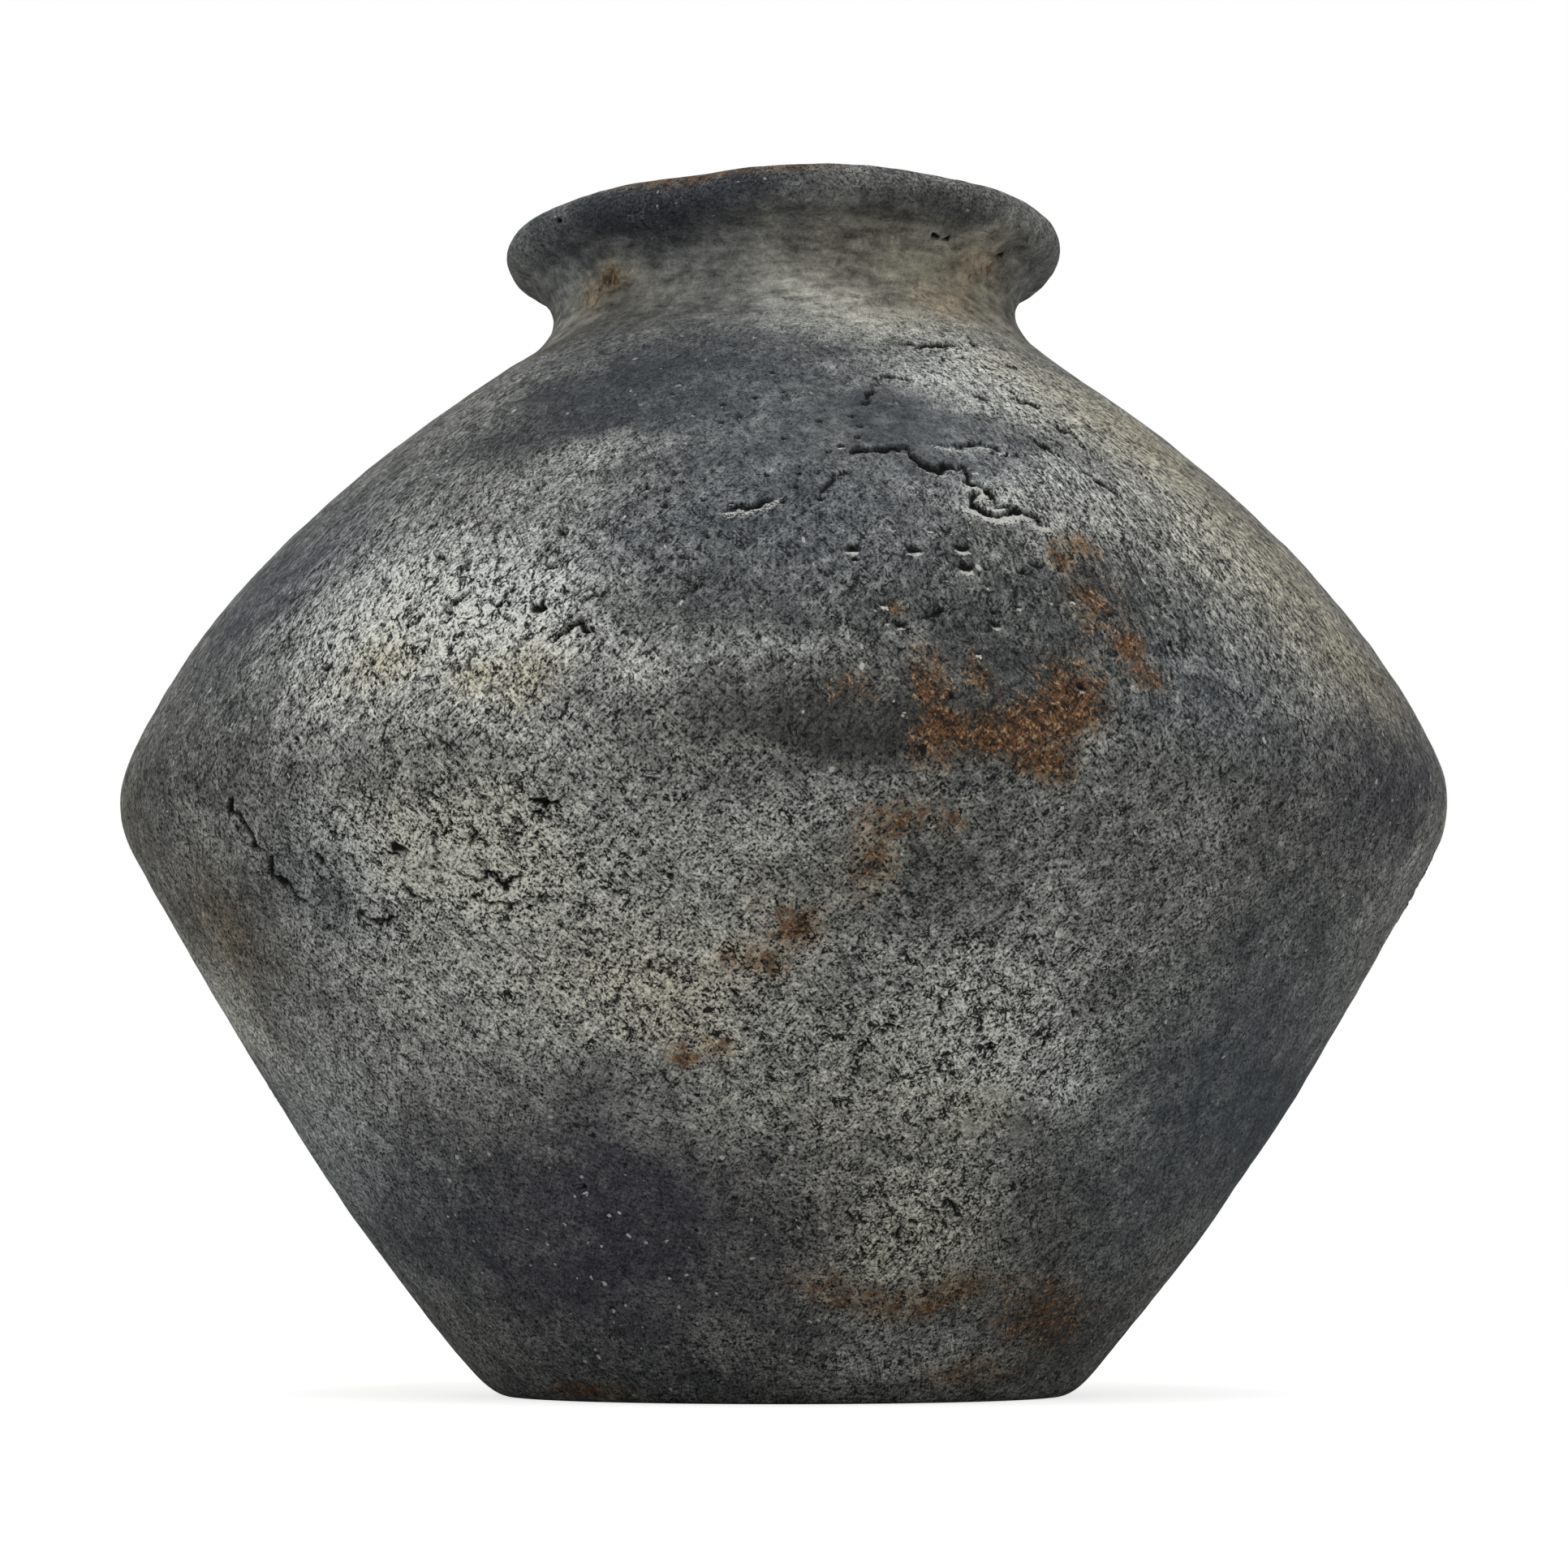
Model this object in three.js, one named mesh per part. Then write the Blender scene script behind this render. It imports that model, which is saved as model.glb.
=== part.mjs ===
// A hand-built stoneware vase, as its maker puts it together before the firing: a foot slab,
// two wall sections, a neck collar and a lip coil, keyed edge to edge, with a thin coil of clay
// pressed over each of the three long seams on the inside.
// Millimetres, +Z up, origin in the middle of the foot. Leans are in degrees from upright.

import * as THREE from 'three';

// Foot
const FOOT_RADIUS = 66.2; // where the wall's line meets the table
const FOOT_ROUNDING = 3.7; // how far the worn edge is taken back under the foot
const FOOT_RISE = 6; // height of the worn edge

// Belly, the widest ring
const BELLY_RADIUS = 152.5;
const BELLY_HEIGHT = 134;
const BELLY_ROUNDING = 21;
const LOWER_LEAN = 28.5; // outward lean of the wall just under the belly
const LOWER_SWELL = 6.8; // how much further the wall leans out at the foot than on average
const SHOULDER_LEAN = 21; // inward lean of the shoulder just above the belly

// Neck, the narrowest ring, and the flare above it
const NECK_RADIUS = 54.6;
const NECK_HEIGHT = 251;
const NECK_ROOT_SPREAD = 9.8; // how much wider the shoulder's end is than the neck
const NECK_ROOT_DROP = 14; // how far the shoulder's end lies under the neck
const NECK_ROOT_LEAN = 54;
const FLARE_SPREAD = 5.9;
const FLARE_RISE = 9.5;
const FLARE_LEAN = 47;
const LIP_SWELL = 1.1; // how much the lip's radius passes half the wall

// Clay
const WALL = 9;
const FLOOR = 10;
const FLOOR_LAP = 5; // how far the turned-up edge of the slab stands above the floor inside

// Keyed seams: a ridge on the lower edge, a groove in the upper edge
const KEY_WIDTH = 4;
const KEY_HEIGHT = 2.5;
const SEAM_GAP = 0.3;

// Coils pressed over the seams inside: half lengths along the wall, and thickness
const BASE_COIL_REACH = 5;
const BELLY_COIL_REACH = 12;
const NECK_COIL_REACH = 8;
const COIL_EDGE = 0.8;
const COIL_CROWN = 2.6;

// Facets: around the axis, and along the cross-section from each seam to the next
const TURNS = 56;
const FOOT_EDGE_STEPS = 4;
const LOWER_WALL_STEPS = { first: 6, second: 3, inside: 3 };
const SHOULDER_STEPS = { first: 3, second: 7, inside: 5 };
const COLLAR_STEPS = { first: 4, second: 4, inside: 4 };
const LIP_STEPS = 9;
const COIL_STEPS = 4;
const HALVINGS = 40; // of a search along the wall

// Fired clay as it looks on the outside, and the bare clay inside
const CHARCOAL = { color: 0x5b5a5c, roughness: 0.92, metalness: 0 };
const ASH_GREY = { color: 0x8b8883, roughness: 0.94, metalness: 0 };
const WARM_GREY = { color: 0x77716b, roughness: 0.95, metalness: 0 };
const BARE_CLAY = { color: 0x6e6257, roughness: 0.97, metalness: 0 };

// Points of the cross-section: x is the radius and y the height
const point = (radius, height) => new THREE.Vector2(radius, height);
const radians = THREE.MathUtils.degToRad;
const heading = (lean) => point(Math.sin(radians(lean)), Math.cos(radians(lean)));
const along = (start, direction, distance) => start.clone().addScaledVector(direction, distance);

// A smooth span that leaves one point and reaches another at the given leans
function span(start, startLean, end, endLean) {
  const handle = start.distanceTo(end) / 3;
  const leaving = along(start, heading(startLean), handle);
  const arriving = along(end, heading(endLean), -handle);
  return new THREE.CubicBezierCurve(start, leaving, arriving, end);
}

// The outside of the wall from the edge of the foot to the flare, as one path
const bellyCentre = point(BELLY_RADIUS - BELLY_ROUNDING, BELLY_HEIGHT);
const bellyArc = (from, to) => new THREE.EllipseCurve(
  bellyCentre.x, bellyCentre.y, BELLY_ROUNDING, BELLY_ROUNDING, radians(from), radians(to));
const underBelly = bellyArc(-LOWER_LEAN, 0);
const overBelly = bellyArc(0, SHOULDER_LEAN);

const footCorner = point(FOOT_RADIUS, 0);
const chord = underBelly.getPoint(0).sub(footCorner);
const footLean = THREE.MathUtils.radToDeg(Math.atan2(chord.x, chord.y)) + LOWER_SWELL;
const footTop = point(FOOT_RADIUS + FOOT_RISE * Math.tan(radians(footLean)), FOOT_RISE);
const footFlat = point(FOOT_RADIUS - FOOT_ROUNDING, 0);
const neckRoot = point(NECK_RADIUS + NECK_ROOT_SPREAD, NECK_HEIGHT - NECK_ROOT_DROP);
const neck = point(NECK_RADIUS, NECK_HEIGHT);
const flareTop = point(NECK_RADIUS + FLARE_SPREAD, NECK_HEIGHT + FLARE_RISE);

const outside = new THREE.CurvePath();
outside.add(new THREE.QuadraticBezierCurve(footFlat, footCorner, footTop));
outside.add(span(footTop, footLean, underBelly.getPoint(0), LOWER_LEAN));
outside.add(underBelly);
outside.add(overBelly);
outside.add(span(overBelly.getPoint(1), -SHOULDER_LEAN, neckRoot, -NECK_ROOT_LEAN));
outside.add(span(neckRoot, -NECK_ROOT_LEAN, neck, 0));
outside.add(span(neck, 0, flareTop, FLARE_LEAN));

// Distances along that path at the ends of its spans
const [footEdgeEnd, underBellyStart, bellyLine, overBellyEnd, shoulderEnd, neckLine, flareEnd] =
  outside.getCurveLengths();

// The surface at a distance along the path, with the directions up the wall and into the clay
function frameAt(distance) {
  const share = THREE.MathUtils.clamp(distance / flareEnd, 0, 1);
  const upward = outside.getTangent(share);
  const inward = point(-upward.y, upward.x);
  return { surface: outside.getPoint(share), upward, inward };
}

// The point at a distance along the path and a depth into the clay
function clayPoint(distance, depth) {
  const { surface, inward } = frameAt(distance);
  return along(surface, inward, depth);
}

// Where the inside of the wall reaches a height, found by halving
function distanceWhereInsideReaches(height) {
  let low = 0;
  let high = bellyLine;
  for (let halving = 0; halving < HALVINGS; halving += 1) {
    const middle = (low + high) / 2;
    if (clayPoint(middle, WALL).y < height) low = middle;
    else high = middle;
  }
  return low;
}

// Points at one depth between two distances, both ends included
function clayLine(from, to, depth, steps) {
  const points = [];
  for (let step = 0; step <= steps; step += 1) {
    points.push(clayPoint(from + (to - from) * step / steps, depth));
  }
  return points;
}

// A seam across the wall, with the edge of the piece below it and of the piece above it
class Seam {
  constructor(distance, coilReach) {
    const { surface, upward, inward } = frameAt(distance);
    this.distance = distance;
    this.coilReach = coilReach;
    this.middle = along(surface, inward, WALL / 2);
    this.upward = upward;
    this.inward = inward;
  }

  at(across, rise) {
    return along(along(this.middle, this.inward, across), this.upward, rise);
  }

  // Points from the outside to the inside, parted from the other edge by a clearance
  edge(clearance, halfWidth = WALL / 2) {
    const flank = Math.atan2(KEY_HEIGHT, KEY_WIDTH / 2);
    const keyHalf = KEY_WIDTH / 2 + clearance * Math.tan(flank / 2);
    const keyTop = KEY_HEIGHT + clearance / Math.cos(flank);
    return [
      this.at(-halfWidth, clearance),
      this.at(-keyHalf, clearance),
      this.at(0, keyTop),
      this.at(keyHalf, clearance),
      this.at(halfWidth, clearance),
    ];
  }

  lowerEdge() {
    return this.edge(0);
  }

  upperEdge(halfWidth) {
    return this.edge(SEAM_GAP, halfWidth);
  }
}

const footSeam = new Seam(distanceWhereInsideReaches(FLOOR + FLOOR_LAP), BASE_COIL_REACH);
const bellySeam = new Seam(bellyLine, BELLY_COIL_REACH);
const neckSeam = new Seam(shoulderEnd, NECK_COIL_REACH);
const lipSeam = new Seam(flareEnd, 0);

// Turns a cross-section about the axis. A closed one comes back to its first point.
function turned(name, outline, closed, clay) {
  const points = closed ? [...outline, outline[0].clone()] : outline;
  const geometry = new THREE.LatheGeometry(points, TURNS);
  geometry.rotateX(Math.PI / 2);
  const mesh = new THREE.Mesh(geometry, new THREE.MeshStandardMaterial(clay));
  mesh.name = name;
  return mesh;
}

// The inside between two seams, with the same points along the seam coils as the coils have
function insideLine(lowerSeam, upperSeam, steps) {
  const coilTop = lowerSeam.distance + lowerSeam.coilReach;
  const coilFoot = upperSeam.distance - upperSeam.coilReach;
  const points = clayLine(lowerSeam.distance, coilTop, WALL, COIL_STEPS / 2).slice(1, -1);
  points.push(...clayLine(coilTop, coilFoot, WALL, steps));
  if (upperSeam.coilReach > 0) {
    points.push(...clayLine(coilFoot, upperSeam.distance, WALL, COIL_STEPS / 2).slice(1));
  }
  return points.slice(0, -1);
}

// A wall section between two seams, outside upwards and inside downwards. The turn is the
// place where its outside passes from its first span of the path to its second.
function wallSection(name, lowerSeam, turn, upperSeam, steps, clay) {
  const outline = [
    ...clayLine(lowerSeam.distance, turn, 0, steps.first).slice(1),
    ...clayLine(turn, upperSeam.distance, 0, steps.second).slice(1, -1),
    ...upperSeam.lowerEdge(),
    ...insideLine(lowerSeam, upperSeam, steps.inside).reverse(),
    ...lowerSeam.upperEdge().reverse(),
  ];
  return turned(name, outline, true, clay);
}

// The slab: flat under the foot, rounded at its edge and turned up to meet the wall
function footSlab() {
  const inner = footSeam.at(WALL / 2, 0);
  const floorEdge = along(inner, footSeam.upward, (FLOOR - inner.y) / footSeam.upward.y);
  const outline = [
    point(0, 0),
    ...clayLine(0, footEdgeEnd, 0, FOOT_EDGE_STEPS),
    ...footSeam.lowerEdge(),
    floorEdge,
    point(0, FLOOR),
  ];
  return turned('foot_slab', outline, false, WARM_GREY);
}

// The lip: a round coil seated on the collar's edge, cut flat where it meets the seam
function lipCoil() {
  const rounding = WALL / 2 + LIP_SWELL;
  const rise = Math.sqrt(rounding ** 2 - (WALL / 2) ** 2);
  const seatRise = rise - SEAM_GAP;
  const seatHalf = Math.sqrt(rounding ** 2 - seatRise ** 2);
  const dip = Math.atan2(seatRise, seatHalf);
  const crown = [];
  for (let step = 1; step < LIP_STEPS; step += 1) {
    const turn = -dip + (Math.PI + 2 * dip) * step / LIP_STEPS;
    crown.push(lipSeam.at(-rounding * Math.cos(turn), rise + rounding * Math.sin(turn)));
  }
  const outline = [...crown, ...lipSeam.upperEdge(seatHalf).reverse()];
  return turned('lip_coil', outline, true, CHARCOAL);
}

// A flattened coil pressed along a seam: it follows the wall and swells in the middle
function seamCoil(name, { distance, coilReach }) {
  const depth = WALL + SEAM_GAP;
  const back = clayLine(distance - coilReach, distance + coilReach, depth, COIL_STEPS);
  const front = back.map((_, step) => {
    const place = 2 * step / COIL_STEPS - 1;
    const thickness = COIL_EDGE + COIL_CROWN * (1 - place ** 2);
    return clayPoint(distance + place * coilReach, depth + thickness);
  });
  return turned(name, [...back, ...front.reverse()], true, BARE_CLAY);
}

const vase = new THREE.Group();
vase.add(
  footSlab(),
  wallSection('lower_wall', footSeam, underBellyStart, bellySeam, LOWER_WALL_STEPS, CHARCOAL),
  wallSection('shoulder_wall', bellySeam, overBellyEnd, neckSeam, SHOULDER_STEPS, ASH_GREY),
  wallSection('neck_collar', neckSeam, neckLine, lipSeam, COLLAR_STEPS, WARM_GREY),
  lipCoil(),
  seamCoil('base_seam_coil', footSeam),
  seamCoil('belly_seam_coil', bellySeam),
  seamCoil('neck_seam_coil', neckSeam),
);

export default vase;
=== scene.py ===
"""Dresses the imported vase: a hand-built stoneware jar under smoke, ash and rust.

The clay is turned and worked as one skin, so that its surface runs on over the seams, and is
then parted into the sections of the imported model. Lengths are in millimetres until a mesh is
written. Azimuths are in degrees from the front of the vase, growing to the right.
"""

import logging
import math
from dataclasses import dataclass, replace
from enum import Enum
from itertools import product
from typing import Mapping, Sequence, Union

import bpy
import numpy as np
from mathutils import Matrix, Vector


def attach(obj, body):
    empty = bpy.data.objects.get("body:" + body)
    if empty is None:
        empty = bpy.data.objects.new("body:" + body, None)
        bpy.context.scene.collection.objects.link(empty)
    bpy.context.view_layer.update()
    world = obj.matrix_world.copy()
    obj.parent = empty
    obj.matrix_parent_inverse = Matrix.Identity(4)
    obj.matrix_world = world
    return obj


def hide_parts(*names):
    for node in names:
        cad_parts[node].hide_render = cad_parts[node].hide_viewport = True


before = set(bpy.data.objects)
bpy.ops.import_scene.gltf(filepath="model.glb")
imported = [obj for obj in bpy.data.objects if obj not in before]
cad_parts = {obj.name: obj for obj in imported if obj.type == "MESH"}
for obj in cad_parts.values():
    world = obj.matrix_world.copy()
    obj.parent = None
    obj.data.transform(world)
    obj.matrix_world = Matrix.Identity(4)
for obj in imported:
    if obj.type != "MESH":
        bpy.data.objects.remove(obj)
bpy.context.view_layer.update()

MM = 0.001
BODY = "root"
LOG = logging.getLogger("vase")

RING = "ring"
SMOOTH = "smooth"
WALL_PLACE = "wall"
DRY_GLOSS = 0.25
MERGE_GAP = 1e-6
SPAN_POINTS = 400
ARC_POINTS = 200
EDGE_POINTS = 60

Colour = tuple[float, float, float]
Value = Union["Wire", float, Sequence[float]]


def paint(red: int, green: int, blue: int) -> Colour:
    """Turns a colour as seen on a screen into the linear light that shaders take.

    Args:
        red: Red from 0 to 255.
        green: Green from 0 to 255.
        blue: Blue from 0 to 255.

    Returns:
        The linear colour.
    """
    shares = (channel / 255 for channel in (red, green, blue))
    return tuple(s / 12.92 if s <= 0.04045 else ((s + 0.055) / 1.055) ** 2.4 for s in shares)


def ease(value: np.ndarray, low: float, high: float) -> np.ndarray:
    """Runs smoothly from 0 to 1 as a value goes from low to high, either way round.

    Args:
        value: The values.
        low: Where the result is 0.
        high: Where the result is 1.

    Returns:
        The eased values.
    """
    share = np.clip((value - low) / (high - low), 0, 1)
    return share * share * (3 - 2 * share)


def lattice(cells: np.ndarray) -> np.ndarray:
    """Gives three fixed random values for each cell of a lattice.

    Args:
        cells: Whole numbers, one row of three for each cell.

    Returns:
        Values from -1 to 1, one row for each cell.
    """
    primes = (73856093, 19349663, 83492791)
    salts = (0x1B56C4E9, 0x2C1B3C6D, 0x297A2D39)
    word, half_word = 0xFFFFFFFF, 0xFFFF
    mixed = (cells * primes).sum(axis=1)
    values = []
    for salt in salts:
        number = (mixed ^ salt) & word
        number = ((number ^ (number >> 15)) * salts[1]) & word
        number = ((number ^ (number >> 12)) * salts[2]) & word
        values.append(2 * ((number ^ (number >> 15)) & half_word) / half_word - 1)
    return np.stack(values, axis=1)


def cloud(points: np.ndarray, size: float, seed: int) -> np.ndarray:
    """Gives three smooth random values for each point.

    Args:
        points: Places in millimetres, one row each.
        size: Size of the clouds in millimetres.
        seed: Whole number that makes one cloud differ from another.

    Returns:
        Values from -1 to 1, one row for each point.
    """
    off_grid, far_away = 0.37, 1000
    places = points / size + off_grid * seed
    cells = np.floor(places).astype(np.int64)
    share = places - cells
    share = share ** 3 * (share * (share * 6 - 15) + 10)
    total = np.zeros(points.shape)
    for corner in product((0, 1), repeat=3):
        weight = np.where(corner, share, 1 - share).prod(axis=1)
        total += weight[:, None] * lattice(cells + corner + far_away * seed)
    return total


def pick(piece: bpy.types.Object) -> None:
    """Selects one piece alone and makes it active.

    Args:
        piece: The piece.
    """
    bpy.ops.object.select_all(action="DESELECT")
    bpy.context.view_layer.objects.active = piece
    piece.select_set(True)


def select_only(piece: bpy.types.Object, kind: str, chosen: Sequence[bool]) -> None:
    """Goes into edit mode with only some edges or faces of a piece selected.

    Args:
        piece: The active object.
        kind: The select mode, EDGE or FACE.
        chosen: Whether each edge or face is selected.
    """
    bpy.ops.object.mode_set(mode="EDIT")
    bpy.ops.mesh.select_mode(type=kind)
    bpy.ops.mesh.select_all(action="DESELECT")
    bpy.ops.object.mode_set(mode="OBJECT")
    elements = piece.data.edges if kind == "EDGE" else piece.data.polygons
    elements.foreach_set("select", np.asarray(chosen, dtype=bool))
    bpy.ops.object.mode_set(mode="EDIT")


def face_corners(mesh: bpy.types.Mesh) -> tuple[np.ndarray, np.ndarray]:
    """Reads a mesh's faces.

    Args:
        mesh: The mesh.

    Returns:
        The point of each corner, and the first corner of each face.
    """
    corners = np.empty(len(mesh.loops), dtype=np.int32)
    mesh.loops.foreach_get("vertex_index", corners)
    starts = np.empty(len(mesh.polygons), dtype=np.int32)
    mesh.polygons.foreach_get("loop_start", starts)
    return corners, starts


def read_points(mesh: bpy.types.Mesh) -> np.ndarray:
    """Reads a mesh's points.

    Args:
        mesh: The mesh.

    Returns:
        The points in millimetres, one row each.
    """
    values = np.empty(3 * len(mesh.vertices))
    mesh.vertices.foreach_get("co", values)
    return values.reshape(-1, 3) / MM


def write_points(mesh: bpy.types.Mesh, points: np.ndarray) -> None:
    """Writes a mesh's points, which are given in millimetres."""
    mesh.vertices.foreach_set("co", (points * MM).ravel())
    mesh.update()


def read_normals(mesh: bpy.types.Mesh) -> np.ndarray:
    """Reads the directions that a mesh's points face.

    Args:
        mesh: The mesh.

    Returns:
        The directions, one row each.
    """
    values = np.empty(3 * len(mesh.vertices))
    mesh.vertex_normals.foreach_get("vector", values)
    return values.reshape(-1, 3)


def keep_at_points(mesh: bpy.types.Mesh, name: str, values: np.ndarray) -> None:
    """Keeps a number or a vector at each point of a mesh.

    Args:
        mesh: The mesh.
        name: Name of the new attribute.
        values: One number, or one row of three, for each point.
    """
    kind, field = ("FLOAT", "value") if values.ndim == 1 else ("FLOAT_VECTOR", "vector")
    attribute = mesh.attributes.new(name, kind, "POINT")
    attribute.data.foreach_set(field, values.astype(np.float32).ravel())


def kept_at_points(mesh: bpy.types.Mesh, name: str) -> np.ndarray:
    """Reads what is kept at each point of a mesh.

    Args:
        mesh: The mesh.
        name: Name of the attribute.

    Returns:
        One number, or one row of three, for each point.
    """
    attribute = mesh.attributes[name]
    if attribute.data_type == "FLOAT":
        values = np.empty(len(mesh.vertices), dtype=np.float32)
        attribute.data.foreach_get("value", values)
        return values
    values = np.empty(3 * len(mesh.vertices), dtype=np.float32)
    attribute.data.foreach_get("vector", values)
    return values.reshape(-1, 3)


def new_cross_section(points: np.ndarray) -> bpy.types.Object:
    """Adds a closed cross-section beside the axis.

    Args:
        points: Its corners, radius and height.

    Returns:
        The object, which is active.
    """
    bpy.ops.object.select_all(action="DESELECT")
    bpy.ops.mesh.primitive_circle_add(vertices=len(points))
    piece = bpy.context.object
    corners = np.zeros((len(points), 3))
    corners[:, [0, 2]] = points
    write_points(piece.data, corners)
    return piece


def turn_about_axis(piece: bpy.types.Object, steps: int) -> None:
    """Turns a cross-section about the axis and closes the skin that it sweeps.

    Args:
        piece: The active object, whose mesh is the cross-section.
        steps: Steps around the axis.
    """
    bpy.ops.object.mode_set(mode="OBJECT")
    sweep = piece.modifiers.new("sweep", "SCREW")
    sweep.axis, sweep.angle = "Z", math.tau
    sweep.steps = sweep.render_steps = steps
    sweep.use_merge_vertices, sweep.merge_threshold = True, MERGE_GAP
    bpy.ops.object.modifier_apply(modifier=sweep.name)
    bpy.ops.object.mode_set(mode="EDIT")
    bpy.ops.mesh.select_all(action="SELECT")
    bpy.ops.mesh.remove_doubles(threshold=MERGE_GAP)
    bpy.ops.mesh.normals_make_consistent(inside=False)
    bpy.ops.object.mode_set(mode="OBJECT")


class Section(Enum):
    """The wall sections, by the names of their nodes."""

    FOOT = "foot_slab"
    LOWER = "lower_wall"
    SHOULDER = "shoulder_wall"
    COLLAR = "neck_collar"
    LIP = "lip_coil"


class Slot(Enum):
    """The record's material slots."""

    OUTER = "outer_clay"
    SEAM = "seam_clay"


class Layer(Enum):
    """Layers painted over the skin, each kept as an attribute of its points."""

    ASH = "ash"
    BLUE = "blue"
    PLUM = "plum"
    TAN = "tan"
    RUST = "rust"
    PORES = "pores"
    BRUSH = "brush"
    # painted shade in cracks and in the upper part of pits
    HOLLOW_SHADE = "hollow_shade"
    # pale lower edges of cracks and pits, partly chipped slip and partly painted highlight
    CHIP_AND_HIGHLIGHT = "chip_and_highlight"


class Wire:
    """A shader value that takes part in Python arithmetic."""

    def __init__(self, sheet: "NodeSheet", socket: bpy.types.NodeSocket) -> None:
        """Keeps a socket and the sheet that it is on."""
        self.sheet = sheet
        self.socket = socket

    def math(self, operation: str, *values: Value) -> "Wire":
        """Adds a Math node and returns its result."""
        return self.sheet.add("ShaderNodeMath", {"operation": operation}, dict(enumerate(values)))

    def __add__(self, other: Value) -> "Wire":
        """Adds."""
        return self.math("ADD", self, other)

    def __radd__(self, other: Value) -> "Wire":
        """Adds to a number."""
        return self.math("ADD", other, self)

    def __sub__(self, other: Value) -> "Wire":
        """Subtracts."""
        return self.math("SUBTRACT", self, other)

    def __rsub__(self, other: Value) -> "Wire":
        """Subtracts from a number."""
        return self.math("SUBTRACT", other, self)

    def __mul__(self, other: Value) -> "Wire":
        """Multiplies."""
        return self.math("MULTIPLY", self, other)

    def __rmul__(self, other: Value) -> "Wire":
        """Multiplies a number."""
        return self.math("MULTIPLY", other, self)

    def __abs__(self) -> "Wire":
        """Drops the sign."""
        return self.math("ABSOLUTE", self)

    def larger(self, other: Value) -> "Wire":
        """Takes the larger of two values."""
        return self.math("MAXIMUM", self, other)


class NodeSheet:
    """A node tree that is filled from code."""

    def __init__(self, tree: bpy.types.NodeTree) -> None:
        """Takes over a tree and clears it."""
        self.tree = tree
        self.tree.nodes.clear()

    def add(
        self,
        kind: str,
        settings: Mapping[str, object] | None = None,
        inputs: Mapping[str | int, Value] | None = None,
        output: str | int = 0,
    ) -> Wire:
        """Adds any node.

        Args:
            kind: The node's type.
            settings: Its settings, which are set first.
            inputs: Values or links of its sockets, by name or number.
            output: The socket to return.

        Returns:
            The chosen output.
        """
        node = self.tree.nodes.new(kind)
        for name, setting in (settings or {}).items():
            setattr(node, name, setting)
        for name, value in (inputs or {}).items():
            self.feed(node.inputs[name], value)
        return Wire(self, node.outputs[output]) if node.outputs else None

    def feed(self, socket: bpy.types.NodeSocket, value: Value) -> None:
        """Links a socket to a wire or sets its value.

        Args:
            socket: The socket.
            value: A wire, a number, or the numbers of a colour or vector.
        """
        if isinstance(value, Wire):
            self.tree.links.new(value.socket, socket)
        elif socket.type == "RGBA" and len(value) == 3:
            socket.default_value = (*value, 1.0)
        else:
            socket.default_value = value

    def step(self, value: Wire, low: float, high: float) -> Wire:
        """Runs smoothly from 0 to 1 as a value goes from low to high, either way round."""
        spread = {"Value": value, "From Min": low, "From Max": high}
        return self.add("ShaderNodeMapRange", {"interpolation_type": "SMOOTHSTEP"}, spread)

    def clamped(self, value: Wire) -> Wire:
        """Keeps a value between 0 and 1."""
        return self.add("ShaderNodeClamp", None, {"Value": value})

    def blend(self, share: Value, first: Value, second: Value) -> Wire:
        """Mixes two colours."""
        return self.add("ShaderNodeMix", {"data_type": "RGBA"}, {0: share, 6: first, 7: second}, 2)

    def vector(self, operation: str, *values: Value) -> Wire:
        """Adds a Vector Math node."""
        return self.add("ShaderNodeVectorMath", {"operation": operation}, dict(enumerate(values)))

    def scaled(self, vector: Wire, factor: Value) -> Wire:
        """Scales a vector by a number."""
        return self.add("ShaderNodeVectorMath", {"operation": "SCALE"}, {0: vector, "Scale": factor})

    def shifted(self, place: Wire, shift: Wire, reach: float) -> Wire:
        """Shifts a place along a vector, by a reach times the vector."""
        return self.vector("MULTIPLY_ADD", shift, (reach, reach, reach), place)

    def weighed(self, *parts: tuple[Wire, float]) -> Wire:
        """Sums values, each times its weight."""
        first, *others = (value * weight for value, weight in parts)
        return sum(others, first)

    def place(self) -> Wire:
        """Reads the place on the object, in millimetres."""
        return self.scaled(self.add("ShaderNodeTexCoord", output="Object"), 1 / MM)

    def layer(self, layer: Layer) -> Wire:
        """Reads a painted layer."""
        return self.add("ShaderNodeAttribute", {"attribute_name": layer.value}, output="Fac")

    def grain(self, place: Wire, size: float, detail: float = 2.0, rough: float = 0.55,
              bend: float = 0.0) -> Wire:
        """Adds noise whose grains have a size in the units of the place, centred on 0.

        Args:
            place: Where the noise is read.
            size: Size of a grain.
            detail: Number of finer octaves.
            rough: Strength of the finer octaves.
            bend: How far the noise is bent by itself.

        Returns:
            The noise, mostly from -0.3 to 0.3.
        """
        inputs = {"Vector": place, "Scale": 1 / size, "Detail": detail, "Roughness": rough,
                  "Distortion": bend}
        return self.add("ShaderNodeTexNoise", None, inputs, "Fac") - 0.5

    def cells(self, place: Wire, size: float) -> tuple[Wire, Wire]:
        """Adds random cells.

        Args:
            place: Where the cells are read.
            size: Size of a cell.

        Returns:
            The distance from the cell's middle in cell sizes, and the cell's own random value.
        """
        middle = self.add("ShaderNodeTexVoronoi", None, {"Vector": place, "Scale": 1 / size})
        return middle, Wire(self, middle.socket.node.outputs["Color"])

    def bump(self, height: Wire, strength: float) -> Wire:
        """Raises the surface by a height in millimetres."""
        inputs = {"Strength": strength, "Distance": MM, "Height": height}
        return self.add("ShaderNodeBump", None, inputs)

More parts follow.
